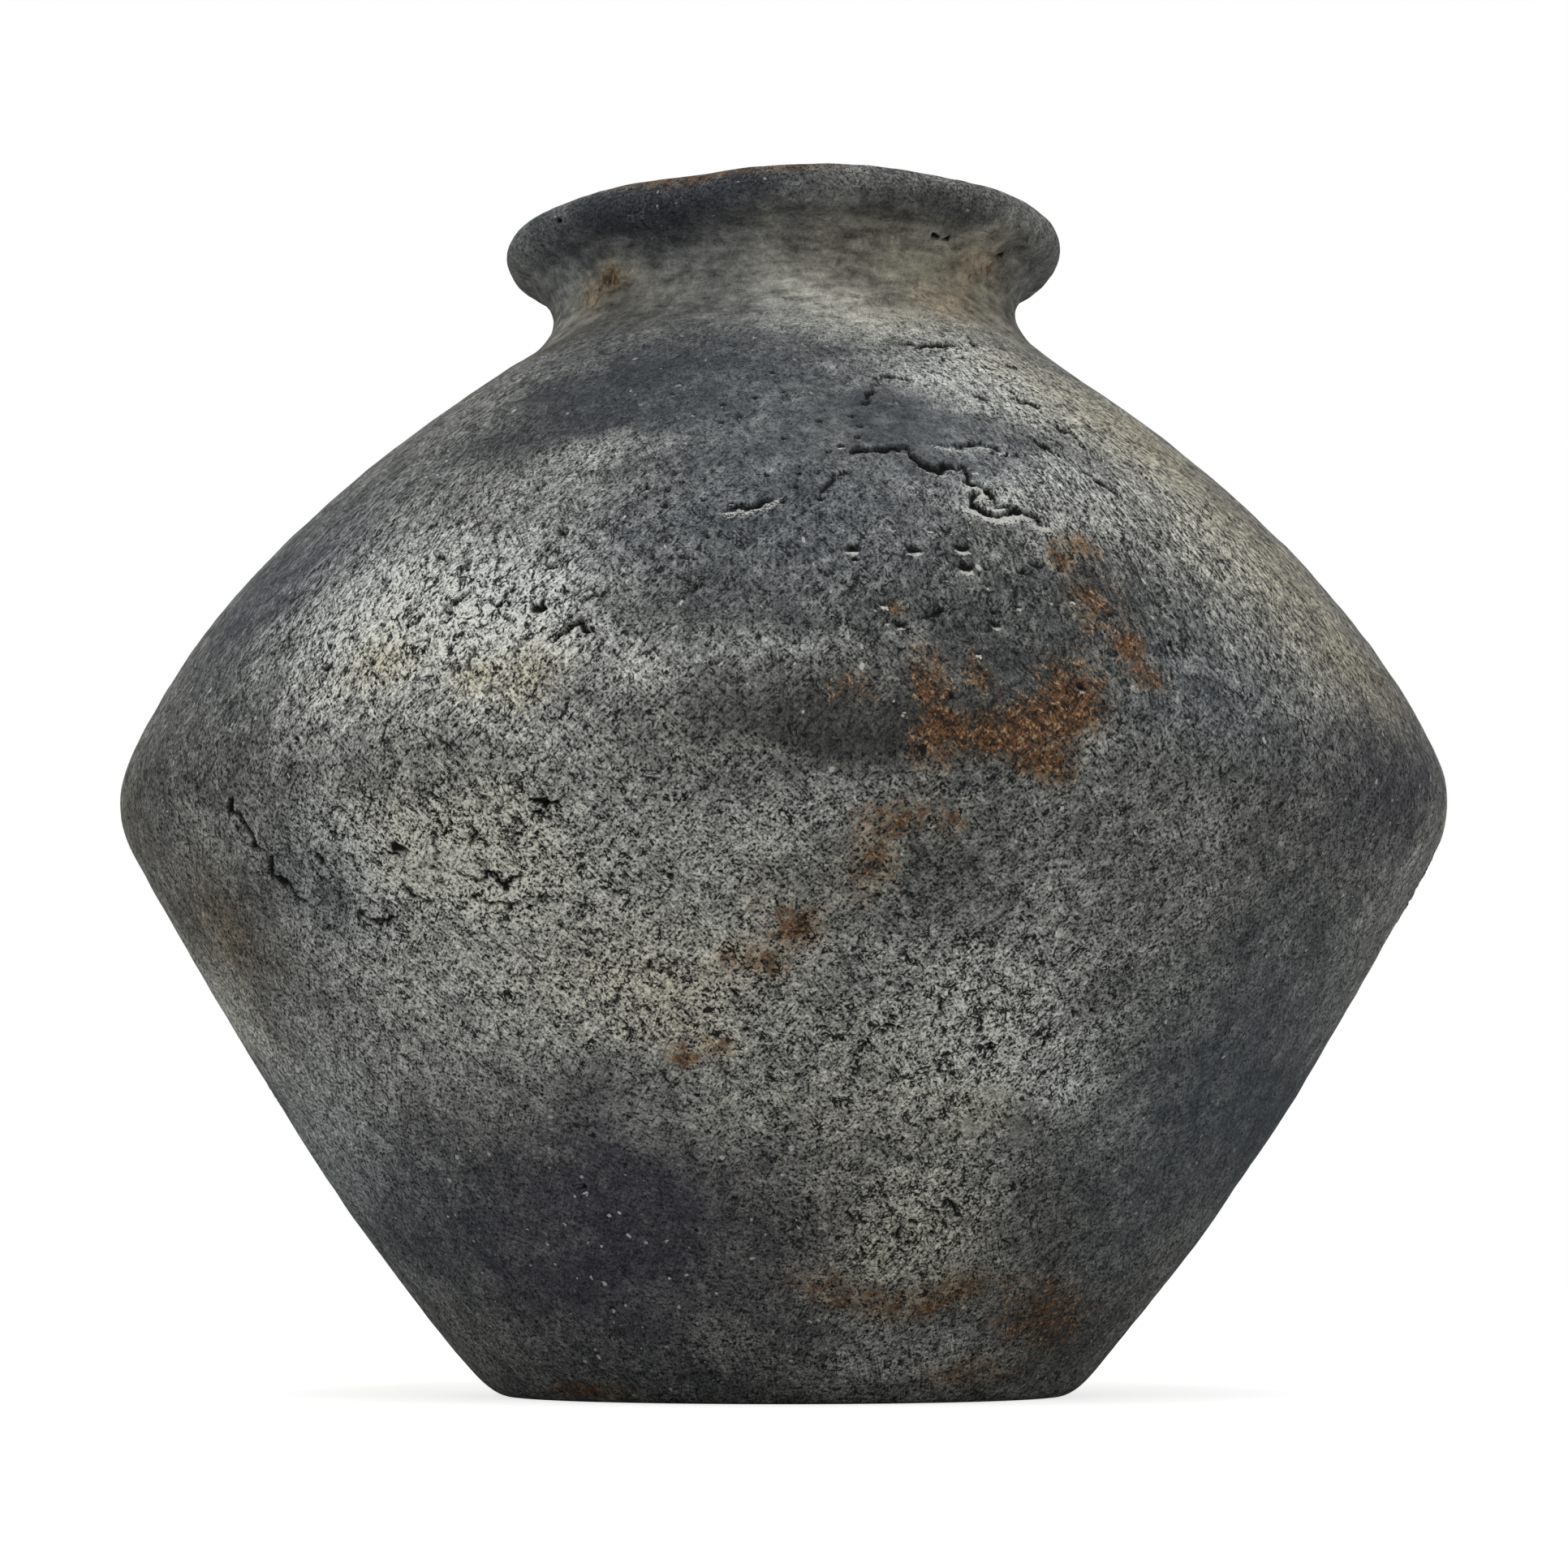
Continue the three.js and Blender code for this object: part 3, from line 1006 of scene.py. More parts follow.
FRONT_PATCHES = [
    *patches(
        Layer.ASH,
        (0, 248, 52, 13, 0.10), (12, 236, 26, 9, 0.10), (50, 258, 8, 6, 0.12), (-44, 252, 8, 8, 0.10),
        (-23, 264, 32, 9, -0.34), (-61, 262, 14, 9, -0.02), (12, 257, 17, 8, -0.14),
        (24, 264, 16, 5, -0.10), (40, 265, 14, 5, -0.16), (5, 263, 10, 5, 0.24), (2, 255, 9, 5, 0.10),
        (-40, 265, 7, 5, -0.10), (-30, 254, 12, 7, 0.10), (-28, 245, 9, 6, 0.10), (48, 261, 26, 10, 0.04),
        (-20, 246, 30, 9, 0.06), (30, 254, 32, 8, 0.06), (-60, 249, 12, 9, 0.42), (-44, 240, 16, 8, -0.14),
        (-13, 253, 8, 6, -0.16), (-48, 250, 8, 8, -0.14), (-13, 244, 8, 6, -0.10), (17, 244, 8, 6, -0.12),
        (-19, 243, 12, 9, -0.04), (3, 243, 16, 5, 0.44, -25), (36, 243, 26, 10, 0.36),
        (8, 235, 24, 8, 0.20), (-11, 219, 29, 26, -0.26), (0, 215, 10, 8, 0.12), (-6, 205, 9, 7, 0.15),
        (-8, 217, 8, 5, 0.09), (10, 217, 7, 5, -0.09), (-2, 204, 7, 5, -0.10), (8, 110, 7, 5, 0.08),
        (30, 220, 7, 5, -0.08), (18, 206, 7, 6, 0.12), (-13, 194, 10, 5, -0.12), (-11, 183, 9, 5, 0.11),
        (12, 183, 7, 4, -0.10), (29, 186, 6, 5, -0.12), (19, 194, 9, 5, -0.20), (25, 186, 6, 4, -0.08),
        (31, 208, 7, 5, 0.10), (-36, 209, 7, 5, 0.10), (-19, 194, 6, 4, -0.10), (26, 128, 6, 4, -0.10),
        (-31, 211, 15, 17, -0.20), (-23, 196, 18, 9, 0.22), (-31, 200, 12, 8, -0.18),
        (-20, 206, 12, 6, -0.14), (-4, 181, 22, 18, -0.20), (-7, 190, 12, 6, 0.10), (-5, 160, 20, 9, -0.20),
        (-2, 143, 14, 6, -0.16), (-47, 196, 30, 17, -0.02), (-56, 176, 26, 22, -0.22),
        (-28, 161, 38, 22, 0.56), (-22, 162, 12, 10, 0.20), (-11, 145, 7, 5, 0.25), (-47, 184, 14, 8, 0.10),
        (-32, 187, 8, 5, 0.10), (-20, 174, 9, 5, -0.10), (-26, 164, 8, 5, 0.70), (-60, 175, 7, 6, 0.12),
        (-15, 153, 6, 4, 0.10), (-1, 158, 6, 5, -0.10), (-22, 174, 6, 4, -0.10), (-54, 190, 8, 6, 0.08),
        (-48, 146, 10, 7, -0.10), (-25, 130, 6, 4, -0.10), (-33, 121, 8, 4, -0.18), (-41, 105, 6, 4, -0.10),
        (-18, 111, 6, 4, -0.10), (-17, 163, 5, 5, -0.12), (-11, 158, 7, 6, -0.10), (2, 161, 6, 5, 0.08),
        (-3, 153, 7, 4, 0.11), (2, 150, 6, 4, 0.10), (-21, 143, 6, 5, 0.11), (-14, 145, 5, 5, -0.13),
        (-20, 136, 8, 5, 0.16), (-27, 137, 8, 5, 0.10), (-32, 125, 10, 6, -0.11), (-21, 128, 6, 5, 0.10),
        (-39, 169, 22, 18, 0.22), (-35, 148, 26, 14, 0.14), (-13, 171, 13, 13, -0.08),
        (15, 219, 10, 8, 0.28), (25, 221, 14, 15, 0.42), (36, 217, 13, 15, 0.25), (25, 206, 10, 9, -0.18),
        (28, 217, 8, 7, -0.10), (33, 207, 8, 6, -0.12), (55, 216, 25, 22, 0.30), (47, 197, 18, 20, 0.16),
        (13, 205, 11, 10, -0.22), (24, 192, 18, 11, 0.16, -20), (22, 187, 12, 6, 0.24),
        (15, 174, 9, 6, -0.14), (37, 181, 23, 26, 0.16), (31, 168, 18, 12, -0.20), (57, 177, 32, 26, 0.20),
        (35, 147, 20, 12, -0.14), (54, 152, 22, 13, 0.12), (5, 127, 7, 5, -0.15), (19, 127, 5, 4, -0.10),
        (23, 128, 4, 4, 0.08), (41, 131, 10, 6, -0.12), (-3, 120, 9, 5, -0.10), (37, 117, 10, 6, 0.09),
        (70, 118, 8, 8, 0.12), (-57, 117, 8, 7, 0.10), (-65, 101, 8, 8, 0.16), (-8, 110, 6, 5, -0.09),
        (-15, 103, 7, 5, 0.09), (21, 103, 7, 5, 0.12), (16, 94, 8, 6, 0.10), (15, 80, 6, 6, -0.12),
        (3, 86, 6, 4, -0.10), (32, 87, 8, 5, -0.10), (57, 102, 9, 7, -0.10), (-1, 102, 7, 5, -0.09),
        (-66, 82, 8, 8, 0.14), (-13, 78, 7, 5, 0.10), (11, 78, 6, 5, 0.11), (21, 78, 9, 5, 0.11),
        (-48, 71, 9, 5, -0.08), (25, 175, 8, 5, 0.10), (-33, 138, 5, 4, 0.10), (-66, 96, 6, 6, 0.12),
        (60, 131, 30, 15, -0.26), (7, 162, 12, 10, -0.06), (18, 156, 20, 14, -0.26),
        (14, 136, 16, 11, -0.20), (-3, 150, 15, 8, 0.08), (3, 134, 22, 7, -0.32), (-60, 138, 34, 11, -0.12),
        (-31, 136, 24, 8, 0.04), (-12, 125, 18, 12, 0.16), (-20, 107, 20, 12, 0.18), (-4, 112, 16, 8, 0.14),
        (-28, 112, 24, 12, 0.52), (-39, 115, 16, 13, 0.22), (-30, 108, 8, 8, 0.28),
        (-43, 108, 12, 9, -0.16), (-43, 97, 14, 11, 0.18), (-64, 100, 30, 13, -0.16),
        (-76, 84, 18, 10, 0.40), (-80, 100, 18, 8, 0.14), (-56, 69, 34, 14, 0.26), (-48, 62, 12, 9, -0.14),
        (-24, 87, 36, 15, 0.32), (-10, 79, 24, 12, 0.28), (2, 112, 26, 14, 0.14), (-4, 95, 14, 8, 0.22),
        (10, 108, 16, 10, -0.22), (38, 124, 30, 12, -0.04), (48, 103, 20, 15, -0.14),
        (19, 78, 25, 16, 0.40), (31, 66, 12, 9, 0.20), (21, 65, 5, 4, 0.2), (22, 57, 7, 5, 0.16),
        (24, 61, 8, 5, -0.15), (39, 58, 8, 7, 0.11), (-38, 53, 7, 5, -0.11), (-64, 54, 8, 8, 0.10),
        (8, 52, 7, 5, -0.12), (4, 36, 6, 5, -0.13), (15, 36, 5, 5, 0.08), (-31, 36, 10, 6, 0.10),
        (-62, 27, 7, 6, 0.10), (-14, 25, 9, 6, 0.13), (10, 26, 5, 5, -0.13), (1, 17, 9, 5, -0.12),
        (62, 17, 8, 6, -0.10), (56, 67, 36, 26, -0.22), (0, 57, 20, 14, 0.14), (-12, 58, 16, 8, 0.14),
        (14, 60, 16, 8, 0.18), (0, 29, 10, 6, -0.14), (15, 36, 22, 16, 0.32), (33, 39, 16, 16, -0.14),
        (-25, 36, 40, 28, -0.32), (-62, 43, 24, 16, -0.14), (-74, 52, 18, 12, 0.26),
        (46, 16, 14, 10, -0.24), (56, 29, 34, 17, -0.06), (20, 8, 18, 8, 0.20), (-14, 5, 50, 7, -0.10),
        (55, 8, 12, 8, -0.1),
    ),
    *patches(
        Layer.BLUE,
        (-8, 215, 36, 30, 0.7), (0, 180, 30, 24, 0.7), (-54, 178, 30, 24, 0.7), (20, 200, 20, 18, 0.7),
        (36, 147, 22, 16, 0.6), (-20, 170, 24, 12, 0.4), (56, 66, 40, 34, 0.8), (-43, 110, 18, 14, 0.6),
        (-62, 46, 30, 24, 0.7), (-60, 262, 20, 12, 0.6), (-22, 262, 30, 12, 0.3), (-60, 72, 26, 18, 0.3),
    ),
    *patches(
        Layer.PLUM,
        (-25, 38, 42, 32, 0.85), (60, 131, 30, 18, 0.6), (-20, 264, 30, 10, 0.5), (-54, 172, 20, 14, 0.3),
        (-44, 108, 14, 10, 0.4),
    ),
    *patches(
        Layer.TAN,
        (32, 244, 30, 12, 0.50), (55, 215, 24, 24, 0.55), (58, 180, 30, 32, 0.55), (60, 152, 24, 14, 0.35),
        (-49, 247, 20, 10, 0.35), (-12, 84, 22, 14, 0.40), (-64, 100, 26, 16, 0.60), (-34, 150, 8, 5, 0.6),
        (-25, 146, 5, 4, 0.6), (-20, 145, 7, 6, 0.6), (-27, 112, 26, 14, 0.22), (52, 256, 16, 10, 0.45),
        (12, 258, 20, 10, 0.25), (5, 48, 30, 26, 0.20), (2, 134, 26, 9, 0.25), (20, 30, 26, 12, 0.25),
        (-74, 130, 22, 14, 0.4), (22, 61, 9, 8, 0.3),
    ),
    *patches(
        Layer.RUST,
        (11, 143, 4, 8, 0.50), (11, 130, 5, 6, 0.40), (14, 133, 6, 4, 0.44), (15, 146, 3, 5, 0.42),
        (17, 133, 6, 5, 0.60), (19, 138, 6, 5, 0.50), (20, 127, 6, 4, 0.54), (23, 146, 6, 8, 0.60, 40),
        (22, 139, 6, 5, 0.56), (29, 155, 3, 3, 0.56), (30, 148, 4, 3, 0.46), (28, 176, 4, 4, 0.44),
        (25, 172, 3, 3, 0.34), (26, 163, 4, 4, 0.40), (13, 116, 4, 3, 0.24), (10, 117, 5, 4, 0.20),
        (7, 113, 4, 6, 0.26), (7, 105, 4, 5, 0.22), (1.5, 96, 3.5, 3.5, 0.42), (-1, 89, 3, 3, 0.26),
        (2, 98, 13, 13, 0.14), (8, 112, 9, 8, 0.10), (28, 162, 9, 14, 0.15), (-9, 74, 10, 7, 0.10),
        (-8, 84, 14, 8, 0.06), (-10, 71, 3, 2, 0.60), (-6, 73, 3, 2, 0.40), (-3, 90, 6, 4, 0.22),
        (6, 24, 10, 5, 0.30), (18, 21, 10, 4, 0.34), (27, 25, 8, 4, 0.34), (45, 17, 13, 11, 0.44),
        (32, 6, 12, 4, 0.32), (-39, 3, 12, 3, 0.44), (-60, 97, 14, 10, 0.20), (-24, 271, 14, 2.5, 0.44),
        (0, 271.4, 11, 2.5, 0.42), (-45, 252, 5, 4, 0.42), (-53, 250, 5, 4, 0.28), (-56, 236, 8, 6, 0.26),
        (50, 255, 9, 6, 0.22), (5, 141, 6, 4, 0.26), (9, 159, 2, 2, 0.50), (40, 243, 12, 6, 0.24),
    ),
    *patches(
        Layer.BRUSH,
        (35, 190, 40, 34, 0.9), (-46, 185, 38, 32, 0.7),
    ),
    *patches(
        Layer.PORES,
        (-31, 109, 7, 5, -0.8), (-26, 111, 6, 5, -0.6), (22, 65, 4, 3, -0.9), (26, 56, 3, 5, -0.9),
        (20, 57, 5, 3, -0.9), (-11, 71, 5, 3, -0.4), (-28, 158, 40, 26, 0.22), (-27, 112, 28, 14, 0.38),
        (14, 203, 22, 16, -0.5), (18, 76, 30, 22, 0.45), (15, 38, 26, 18, 0.40), (12, 160, 24, 14, 0.25),
        (-12, 84, 24, 14, 0.30), (36, 180, 26, 26, 0.10), (-8, 215, 40, 34, -0.40),
        (-25, 36, 44, 34, -0.40), (0, 252, 34, 20, -0.9), (-60, 252, 34, 20, -0.9), (60, 252, 34, 20, -0.9),
        (56, 66, 40, 30, -0.35), (-60, 182, 22, 20, -0.30),
    ),
]

SIDE_PATCHES = [
    *patches(
        Layer.ASH,
        (92, 150, 26, 18, 0.36), (106, 96, 24, 14, 0.28), (80, 60, 24, 20, -0.20), (98, 206, 20, 14, -0.18),
        (100, 36, 24, 16, -0.26), (91, 182, 16, 8, -0.16), (264, 166, 28, 20, 0.34),
        (256, 100, 26, 16, 0.36), (272, 56, 24, 18, -0.24), (262, 206, 20, 14, -0.20),
        (240, 176, 24, 16, 0.26), (236, 120, 22, 12, 0.22),
    ),
    *patches(
        Layer.BLUE,
        (98, 206, 24, 18, 0.6), (84, 60, 26, 22, 0.6), (272, 56, 26, 22, 0.6), (262, 206, 22, 16, 0.6),
    ),
    *patches(Layer.TAN, (108, 96, 20, 14, 0.45), (258, 100, 22, 14, 0.45), (262, 172, 22, 16, 0.30)),
    *patches(Layer.PORES, (94, 150, 26, 18, 0.25), (256, 100, 26, 16, 0.30)),
    *patches(
        Layer.RUST,
        (94, 127, 7, 5, 0.44), (98, 122, 5, 4, 0.54), (88, 131, 4, 3, 0.40), (101, 114, 4, 3, 0.44),
        (261, 130, 6, 4, 0.44), (265, 134, 4, 5, 0.50), (257, 124, 4, 3, 0.40), (246, 80, 5, 4, 0.46),
    ),
]

CRACKS = [
    Crack(((7, 196.7), (10.3, 197.9), (13.4, 197.7)), 0.85, 1.4, 0.45, 0.25),
    Crack(((13.4, 197.7), (14.3, 194.7), (15.7, 192.7), (18.6, 194.2)), 0.95, 1.4, 0.45, 0.4),
    Crack(((18.6, 194.2), (19.1, 191.2), (19.6, 189.2)), 0.9, 1.3, 0.4, 0.6),
    Crack(((19.6, 188.9), (20.3, 187.9), (20.5, 184.9), (21.5, 183.1)), 0.9, 1.3, 0.4, 0.7),
    Crack(((21.5, 183.1), (23.5, 184.1), (24.5, 180.5)), 0.9, 1.3, 0.4, 0.7),
    Crack(((19.4, 188), (17.7, 185), (18.4, 182.5), (20, 181.8), (21.9, 183.3)), 0.85, 1.2, 0.35, 0.75),
    Crack(((6.9, 192.6), (5.3, 190.3), (4.2, 188.2), (3.4, 185.2)), 0.5, 0.8, 0.3, 0.2),
    Crack(((16.8, 199.9), (19.2, 200.1), (20.7, 199.2), (22.7, 200.1), (23.9, 199.1)), 0.5, 0.8, 0.4, 0.45),
    Crack(((25.6, 198.2), (26.9, 197.3)), 0.5, 0.7, 0.3, 0.3),
    Crack(((26, 215.2), (27.3, 214), (28.8, 213.6)), 0.5, 0.8, 0.25, 0.3),
    Crack(((25.1, 225), (24.6, 223), (23.7, 221.5)), 0.45, 0.7, 0.2, 0.2),
    Crack(((-4.9, 182), (-2.9, 183.1), (-0.8, 185.2)), 0.7, 1.0, 0.35, 0.5),
    Crack(((9.6, 210.2), (11.4, 213.3), (13.2, 217.8)), 0.6, 1.0, 0.3, 0.2),
    Crack(((13.2, 217.8), (15.9, 219.3), (18, 219)), 0.6, 1.0, 0.3, 0.3),
    Crack(((33.3, 218.8), (33.2, 215), (34.7, 214.4), (36.5, 213.4)), 0.75, 1.2, 0.3, 0.3),
    Crack(((35.3, 210), (36.2, 208.1), (37.5, 206.2)), 0.85, 1.2, 0.3, 0.3),
    Crack(((29.9, 203.4), (30.6, 201.8), (31.8, 199.7)), 0.75, 1.0, 0.25, 0.3),
    Crack(((33.8, 197.6), (34.4, 195.8), (35.4, 193.4), (36.4, 191)), 0.85, 1.2, 0.3, 0.3),
    Crack(((17.9, 229.3), (20.4, 228.9), (24.5, 228.8), (27, 229), (31.3, 230.4)), 0.75, 1.2, 0.3, 0.3),
    Crack(((34.8, 231.6), (37, 232)), 0.7, 1.0, 0.3, 0.2),
    Crack(((38.7, 230.4), (38.6, 227.5), (39.8, 225.6)), 0.75, 1.1, 0.3, 0.2),
    Crack(((-18.5, 153), (-17.8, 155.6), (-16.7, 157), (-15.5, 155)), 0.75, 1.2, 0.3, 0.25),
    Crack(((-25.6, 164.2), (-23.9, 160.9), (-22.1, 157.2)), 0.3, 0.6, 0.1, 0.0),
    Crack(((-26.3, 167.1), (-26, 169.6)), 0.3, 0.5, 0.1, 0.0),
    Crack(((-50, 127), (-50.6, 123.4), (-48.8, 119.4), (-49.6, 117), (-47.7, 115)), 1.2, 1.4, 0.3, 0.1),
    Crack(((-47.6, 114.4), (-48.8, 111), (-47, 108.6), (-46.2, 105)), 1.2, 1.4, 0.3, 0.1),
    Crack(((-42.3, 114.5), (-41.6, 113), (-42, 111.6)), 0.8, 1.0, 0.25, 0.1),
    Crack(((-39.8, 101.5), (-37.8, 99.7), (-35.3, 100.4)), 0.65, 1.0, 0.3, 0.1),
    Crack(((-33.6, 107.1), (-32.9, 103.9), (-31.3, 101.9)), 0.65, 1.0, 0.3, 0.1),
    Crack(((-28.1, 108.6), (-26.2, 106.2), (-25.1, 107.2), (-23.9, 104.2), (-22, 107.3)),
          0.65, 1.0, 0.3, 0.1),
    Crack(((-26.5, 102.4), (-24.9, 101.3), (-22.5, 102)), 0.5, 0.8, 0.25, 0.1),
    Crack(((-25.7, 117.5), (-25.4, 114.8), (-26, 113)), 0.6, 0.9, 0.25, 0.1),
    Crack(((-28.5, 118.5), (-27.8, 116.7)), 0.5, 0.8, 0.25, 0.1),
    Crack(((-19.7, 121.1), (-18.6, 120.2), (-18.4, 118.3)), 0.8, 1.0, 0.25, 0.1),
    Crack(((203, 184), (207, 185), (208, 181.5), (211, 180.5)), 0.9, 1.3, 0.4, 0.4),
    Crack(((211, 180.5), (214.5, 179.5), (215, 175), (217, 173.5), (221.5, 173)), 0.8, 1.2, 0.4, 0.5),
    Crack(((238, 166), (240, 162), (239, 158), (242, 153)), 1.0, 1.3, 0.3, 0.2),
    Crack(((152, 203), (155, 200), (156, 195)), 0.7, 1.0, 0.3, 0.3),
    Crack(((166, 104), (169, 100), (168, 96), (171, 92)), 0.9, 1.2, 0.3, 0.1),
    Crack(((104, 182), (107, 180), (109, 182), (112, 178)), 0.8, 1.1, 0.35, 0.4),
    Crack(((84, 121), (86, 116), (85, 112), (88, 108)), 0.9, 1.2, 0.3, 0.1),
    Crack(((266, 196), (269, 198), (272, 195)), 0.7, 1.0, 0.3, 0.3),
]

PITS = [
    *(Pit(azimuth, height, 1.9, 1.3, 0.85, 0.7) for azimuth, height in (
        (5.9, 172.7), (11.2, 172.7), (15.7, 173.6), (15.6, 169))),
    Pit(20.7, 168.7, 1.2, 0.9, 0.3), Pit(17.4, 168.9, 0.8, 0.7, 0.3), Pit(37.2, 203.8, 1.0, 0.9, 0.1),
    *(Pit(azimuth, height, 0.9, 0.8, 0.35) for azimuth, height in (
        (8, 206.7), (8.7, 203.9), (8.1, 200.9), (4.6, 196.9), (1.5, 191.1), (1.2, 187.5),
        (-1.7, 190.7), (-7.6, 209.9), (-7.3, 204.9), (-3.7, 211.7), (-1.6, 219), (3.4, 184.4))),
    Pit(-20.6, 160.5, 2.0, 1.2, 0.3), Pit(-33, 112.6, 2.4, 1.3, 0.0),
    *(Pit(azimuth, height, 1.2, 1.1, 0.1) for azimuth, height in (
        (-49.6, 122), (-47.6, 109.6), (-45.9, 104.6), (-44, 99), (-21.6, 114.2), (-24, 100))),
    *(Pit(azimuth, height, 1.0, 1.0, 0.05) for azimuth, height in (
        (26.2, 75.4), (19, 70.2), (28.5, 80.3), (30.2, 80.8), (20.5, 72.6), (7.7, 73.2),
        (10.2, 78.7), (34.1, 78.2))),
    *(Pit(azimuth, height, 1.3, 1.2, 0.0) for azimuth, height in (
        (-52, 265.5), (35.5, 258.3), (38.8, 258.2), (58, 258.2))),
    *(Pit(azimuth, height, 1.6, 1.2, 0.5, 0.8) for azimuth, height in (
        (196, 168), (201, 171), (228, 190), (231, 148), (176, 158), (148, 176), (120, 150), (97, 168))),
]


@dataclass(frozen=True)
class Scatter:
    """A field of small pits and short cracks that are strewn at random."""

    azimuth: float
    height: float
    width: float
    length: float
    pits: int
    cracks: int
    chip_and_highlight: float = 0.2

    def strew(self, line: WallLine, draw: np.random.Generator) -> list[Mark]:
        """Strews the field.

        Args:
            line: The wall's line.
            draw: The random draws.

        Returns:
            The marks.
        """
        spread, above_foot, below_flare = 0.55, 8, 2
        marks: list[Mark] = []
        middle = line.distance_at(self.height)
        for number in range(self.pits + self.cracks):
            across, along = draw.normal(0, spread, 2) * (self.width, self.length)
            distance = float(np.clip(middle + along, above_foot, line.flare - below_flare))
            radius, height = line.surface(np.array(distance))
            azimuth = self.azimuth + math.degrees(across / radius)
            size = draw.uniform(0.55, 1.2)
            if number < self.pits:
                marks.append(Pit(azimuth, height, size, 0.9 * size, self.chip_and_highlight * draw.uniform(0, 2)))
                continue
            reach, slope = draw.uniform(1.2, 3.4), draw.uniform(-60, 60)
            aside, ahead = Outline.heading(slope) * reach
            ends = []
            for share in (-1, 0, 1):
                kink = draw.normal(0, 0.25 * reach)
                spot = line.surface(np.array(distance + share * ahead))
                ends.append((azimuth + math.degrees((share * aside + kink) / radius), float(spot[1])))
            marks.append(Crack(tuple(ends), 0.3 * size + 0.15, 0.8, 0.15, 0.1))
        return marks


SCATTERS = [
    Scatter(-28, 158, 44, 28, 26, 30), Scatter(-27, 111, 34, 16, 14, 20, 0.1),
    Scatter(14, 160, 30, 16, 26, 4, 0.5), Scatter(-2, 200, 30, 30, 14, 4, 0.5),
    Scatter(18, 76, 34, 22, 22, 10, 0.05), Scatter(14, 38, 30, 20, 12, 8, 0.1),
    Scatter(-10, 86, 34, 18, 14, 8, 0.1), Scatter(-24, 38, 40, 30, 6, 0, 0.5),
    Scatter(38, 190, 26, 30, 8, 10, 0.2), Scatter(-60, 110, 30, 24, 6, 5, 0.1),
]


@dataclass(frozen=True)
class Swelling:
    """Gentle unevenness that hands left in the clay: its size, its height, and its cloud."""

    size: float
    rise: float
    seed: int
    channel: int

    def heights(self, points: np.ndarray) -> np.ndarray:
        """Gives the rise at each point."""
        return cloud(points, self.size, self.seed)[:, self.channel] * self.rise


BROAD_SWELLINGS = (Swelling(46, 0.55, 3, 0), Swelling(15, 0.22, 4, 1))
FINE_SWELLING = Swelling(4.5, 0.13, 5, 2)


@dataclass(frozen=True)
class MouthWave:
    """A rise or dip of the mouth's edge about one azimuth."""

    rise: float
    azimuth: float
    spread: float

    def heights(self, azimuth: np.ndarray) -> np.ndarray:
        """Gives the rise at each azimuth."""
        return self.rise * np.exp(-(((azimuth - self.azimuth + 180) % 360 - 180) / self.spread) ** 2)


MOUTH_TILT = 1.1
MOUTH_WAVES = (MouthWave(0.9, 8, 19), MouthWave(-0.5, -17, 14), MouthWave(-0.5, 150, 40),
               MouthWave(0.4, -120, 30))


